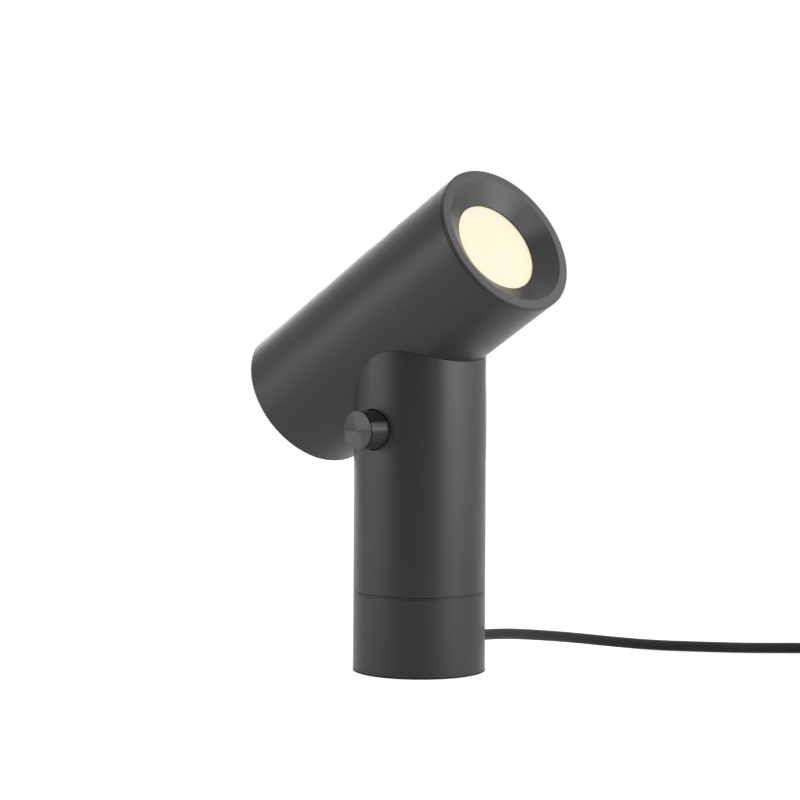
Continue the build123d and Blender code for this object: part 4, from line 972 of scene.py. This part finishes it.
class LAMP_OT_base(bpy.types.Operator):
    """Turns the base casing, with the stop's groove and the lead's hole, and the rubber foot"""

    bl_idname = "lamp.base"
    bl_label = "Base"

    def execute(self, context):
        sizes = context.scene.lamp_sizes
        radius, top, deck = sizes.column_radius / MM, sizes.seam_low / MM, 43.95
        corners = [
            (33.5, 0.8), (radius, 0.8), (radius, top - 1.1), (radius - 0.4, top - 1.1),
            (radius - 0.4, top - 0.75), (radius, top - 0.75), (radius, top), (34.0, top),
            (34.0, deck), (32.6, deck), (32.6, deck - 1.0), (28.4, deck - 1.0), (28.4, deck),
            (10.0, deck), (10.0, 38.45), (33.5, 38.45),
        ]
        casing = turned("painted_base", corners, rounding=0.33 * MM, sharp=(3, 4))
        for angle in (30, 150, 270):
            self.boss(casing, Matrix.Rotation(radians(angle), 4, "Z"))
        self.groove(casing, deck * MM)
        out = cord_frame() @ Matrix.Translation((0, 0, 25 * MM))
        cut(casing, cutter(out, 5.05 * MM, 14 * MM, 64))
        face = cord_frame() @ Matrix.Translation((0, 0, 35.9 * MM))
        cut(casing, cutter(face, 6.7 * MM, 4 * MM, 64))
        dressed(casing, "base", "body_paint", body_paint(), "base_casing")
        rubber = finished("Soft rubber", soft_rubber, (0.02, 0.02, 0.02))
        outline = [(0, 0), (36.7, 0), (36.7, 0.8), (33.4, 0.8), (33.4, 1.6), (0, 1.6)]
        foot = turned("rubber_foot", outline)
        dressed(foot, "base", "black_rubber", rubber, "foot_pad")
        return {"FINISHED"}

    def boss(self, casing, placed):
        """A threaded boss under the deck, with the rib that ties it to the wall."""
        low = placed @ Matrix.Translation((27 * MM, 0, 28 * MM))
        cut(casing, cutter(low, 5 * MM, 11 * MM, 48), "UNION")
        deselect()
        bpy.ops.mesh.primitive_cube_add(size=1.0)
        rib = bpy.context.object
        rib.scale = (7.5 * MM, 4.9 * MM, 10 * MM)
        rib.location = (30.75 * MM, 0, 34.1 * MM)
        settle()
        edit("FACE")
        bpy.ops.mesh.bevel(offset=0.4 * MM, segments=2, affect="EDGES")
        finish_edit()
        place(rib, placed)
        cut(casing, rib, "UNION")
        thread = placed @ Matrix.Translation((27 * MM, 0, 27 * MM))
        cut(casing, cutter(thread, 2 * MM, 10 * MM, 32))

    def groove(self, casing, deck):
        """The arc that the stop pin runs in."""
        deselect()
        bpy.ops.mesh.primitive_plane_add(size=1.0, rotation=(radians(90), 0, 0))
        tool = bpy.context.object
        tool.scale = (5 * MM, 4 * MM, 1)
        tool.location = (24 * MM, 0, deck - 1.0 * MM)
        settle()
        edit()
        half = radians(SWIVEL_STOP + PIN_ROOM)
        bpy.ops.mesh.spin(steps=120, angle=2 * half, center=(0, 0, 0), axis=(0, 0, 1))
        bpy.ops.mesh.select_all(action="SELECT")
        bpy.ops.mesh.remove_doubles(threshold=1e-7)
        finish_edit()
        place(tool, Matrix.Rotation(radians(90) + half, 4, "Z"))
        self.close_ends(tool)
        cut(casing, tool)

    def close_ends(self, tool):
        """Closes the tool's two open ends and points its faces outwards."""
        take(tool)
        edit("EDGE", "DESELECT")
        bpy.ops.mesh.select_non_manifold()
        bpy.ops.mesh.fill_holes(sides=0)
        bpy.ops.mesh.select_all(action="SELECT")
        bpy.ops.mesh.normals_make_consistent(inside=False)
        finish_edit()


class LAMP_OT_knob(bpy.types.Operator):
    """Turns the knob, with its lathe-cut face, its bore and its grub screw's hole"""

    bl_idname = "lamp.knob"
    bl_label = "Knob"

    def execute(self, context):
        sizes, colours, _ = settings()
        radius, face = sizes.knob_radius / MM, sizes.knob_face / MM
        corners = [
            (0, face - 0.12), (0.35, face), (radius, face), (radius, face - 0.25),
            (radius - 0.55, face - 0.27), (radius - 0.55, face - 0.98), (radius, face - 1.0),
            (radius, 29.5), (3.0, 29.5), (3.0, 38.05), (0, 38.05),
        ]
        knob = turned("turned_knob", corners, knob_frame(), rounding=0.22 * MM, sharp=(1, 3, 4, 5, 6))
        grub = downwards(knob_frame(), 0, 0, 33 * MM)
        cut(knob, cutter(grub, 1.5 * MM, sizes.knob_radius + MM, 32))
        metal = finished("Turned knob metal", turned_knob_metal, tuple(colours.knob))
        dressed(knob, "knob", "knob_black", metal, "knob")
        return {"FINISHED"}


class LAMP_OT_gland(bpy.types.Operator):
    """Turns the lead's gland, with its collar and its ribbed, tapered nose"""

    bl_idname = "lamp.gland"
    bl_label = "Cord gland"

    def execute(self, context):
        corners = [(3.1, 27.5), (3.1, 47.5), (3.75, 47.5)]
        for out in (44.6, 42.2, 39.8):
            wide = 3.75 + (47.5 - out) * 0.104
            corners += [(wide, out + 1.2), (wide - 0.6, out + 1.2)]
            corners += [(wide - 0.55, out + 0.3), (wide + 0.1, out + 0.3)]
        corners += [(4.8, 37.4), (6.2, 37.4), (6.2, 35.9), (5.0, 35.9), (5.0, 27.5)]
        gland = turned("ribbed_gland", corners, cord_frame(), rounding=0.15 * MM, steps=96)
        dressed(gland, "base", "black_plastic", black_plastic(), "cord_gland")
        return {"FINISHED"}


class LAMP_OT_finishes(bpy.types.Operator):
    """Gives the pieces that keep their machined solids their finishes"""

    bl_idname = "lamp.finishes"
    bl_label = "Inner finishes"

    def execute(self, context):
        makers = {
            "cast_aluminium": ("Die-cast aluminium", cast_metal, (0.55, 0.55, 0.55), 0.42),
            "turned_steel": ("Turned steel", machined_metal, (0.5, 0.5, 0.5), 0.28),
            "black_rubber": ("Soft rubber", soft_rubber, (0.02, 0.02, 0.02)),
            "zinc_steel": ("Zinc-plated sheet", plated_sheet, (0.62, 0.62, 0.6), 0.34),
            "grey_iron": ("Grey cast iron", cast_metal, (0.12, 0.12, 0.12), 0.55, 0.0012),
            "screw_steel": ("Blackened screw steel", machined_metal, (0.22, 0.22, 0.22), 0.34),
            "white_acetal": ("White acetal", moulded_plastic, (0.82, 0.82, 0.8), 0.42),
            "spring_steel": ("Spring steel", machined_metal, (0.38, 0.38, 0.4), 0.24),
            "black_plastic": ("Black moulded plastic", moulded_plastic, (0.018, 0.018, 0.018), 0.5),
            "cord_textile": ("Black sheath", moulded_plastic, (0.022, 0.022, 0.022), 0.6),
            "white_plastic": ("White moulded plastic", moulded_plastic, (0.8, 0.8, 0.8), 0.4),
            "core_insulation": ("Core insulation", moulded_plastic, (0.18, 0.07, 0.03), 0.38),
            "turned_brass": ("Turned brass", machined_metal, (0.72, 0.52, 0.22), 0.26),
            "circuit_board": ("Board lacquer", board_lacquer, (0.78, 0.8, 0.78)),
            "bare_aluminium": ("Extruded aluminium", machined_metal, (0.72, 0.72, 0.73), 0.32),
            "led_phosphor": ("Lit phosphor", phosphor, (0.95, 0.75, 0.3)),
        }
        slots = {part["node"]: part["material_slot"] for part in frame["record"]["subparts"]}
        for name, piece in frame["nodes"].items():
            recipe = makers.get(slots[name])
            if recipe:
                piece.data.materials.clear()
                piece.data.materials.append(finished(*recipe))
                take(piece)
                bpy.ops.object.shade_smooth_by_angle(angle=radians(35))
        return {"FINISHED"}


class LAMP_PT_panel(bpy.types.Panel):
    """The lamp's sizes, colours and pieces"""

    bl_idname = "LAMP_PT_panel"
    bl_label = "Searchlight Table Lamp"
    bl_space_type = "VIEW_3D"
    bl_region_type = "UI"
    bl_category = "Lamp"

    def draw(self, context):
        layout = self.layout
        for group in settings():
            box = layout.box()
            for key in group.__annotations__:
                box.prop(group, key)
        column = layout.column(align=True)
        for operator in OPERATORS:
            column.operator(operator.bl_idname)


GROUPS = (LampSizes, LampColours, LampStage)
OPERATORS = (
    LAMP_OT_stage,
    LAMP_OT_plug,
    LAMP_OT_lead,
    LAMP_OT_head_tube,
    LAMP_OT_bezel,
    LAMP_OT_diffuser,
    LAMP_OT_rear_cap,
    LAMP_OT_column,
    LAMP_OT_base,
    LAMP_OT_knob,
    LAMP_OT_gland,
    LAMP_OT_finishes,
)


def register():
    """Registers the settings, the operators and the panel."""
    for made in (*GROUPS, *OPERATORS, LAMP_PT_panel):
        bpy.utils.register_class(made)
    bpy.types.Scene.lamp_sizes = PointerProperty(type=LampSizes)
    bpy.types.Scene.lamp_colours = PointerProperty(type=LampColours)
    bpy.types.Scene.lamp_stage = PointerProperty(type=LampStage)


def unregister():
    """Takes them out again."""
    for name in ("lamp_sizes", "lamp_colours", "lamp_stage"):
        delattr(bpy.types.Scene, name)
    for made in reversed((*GROUPS, *OPERATORS, LAMP_PT_panel)):
        bpy.utils.unregister_class(made)


def main():
    """Builds the lamp."""
    register()
    for operator in OPERATORS:
        group, name = operator.bl_idname.split(".")
        getattr(getattr(bpy.ops, group), name)()
    deselect()


if __name__ == "__main__":
    main()
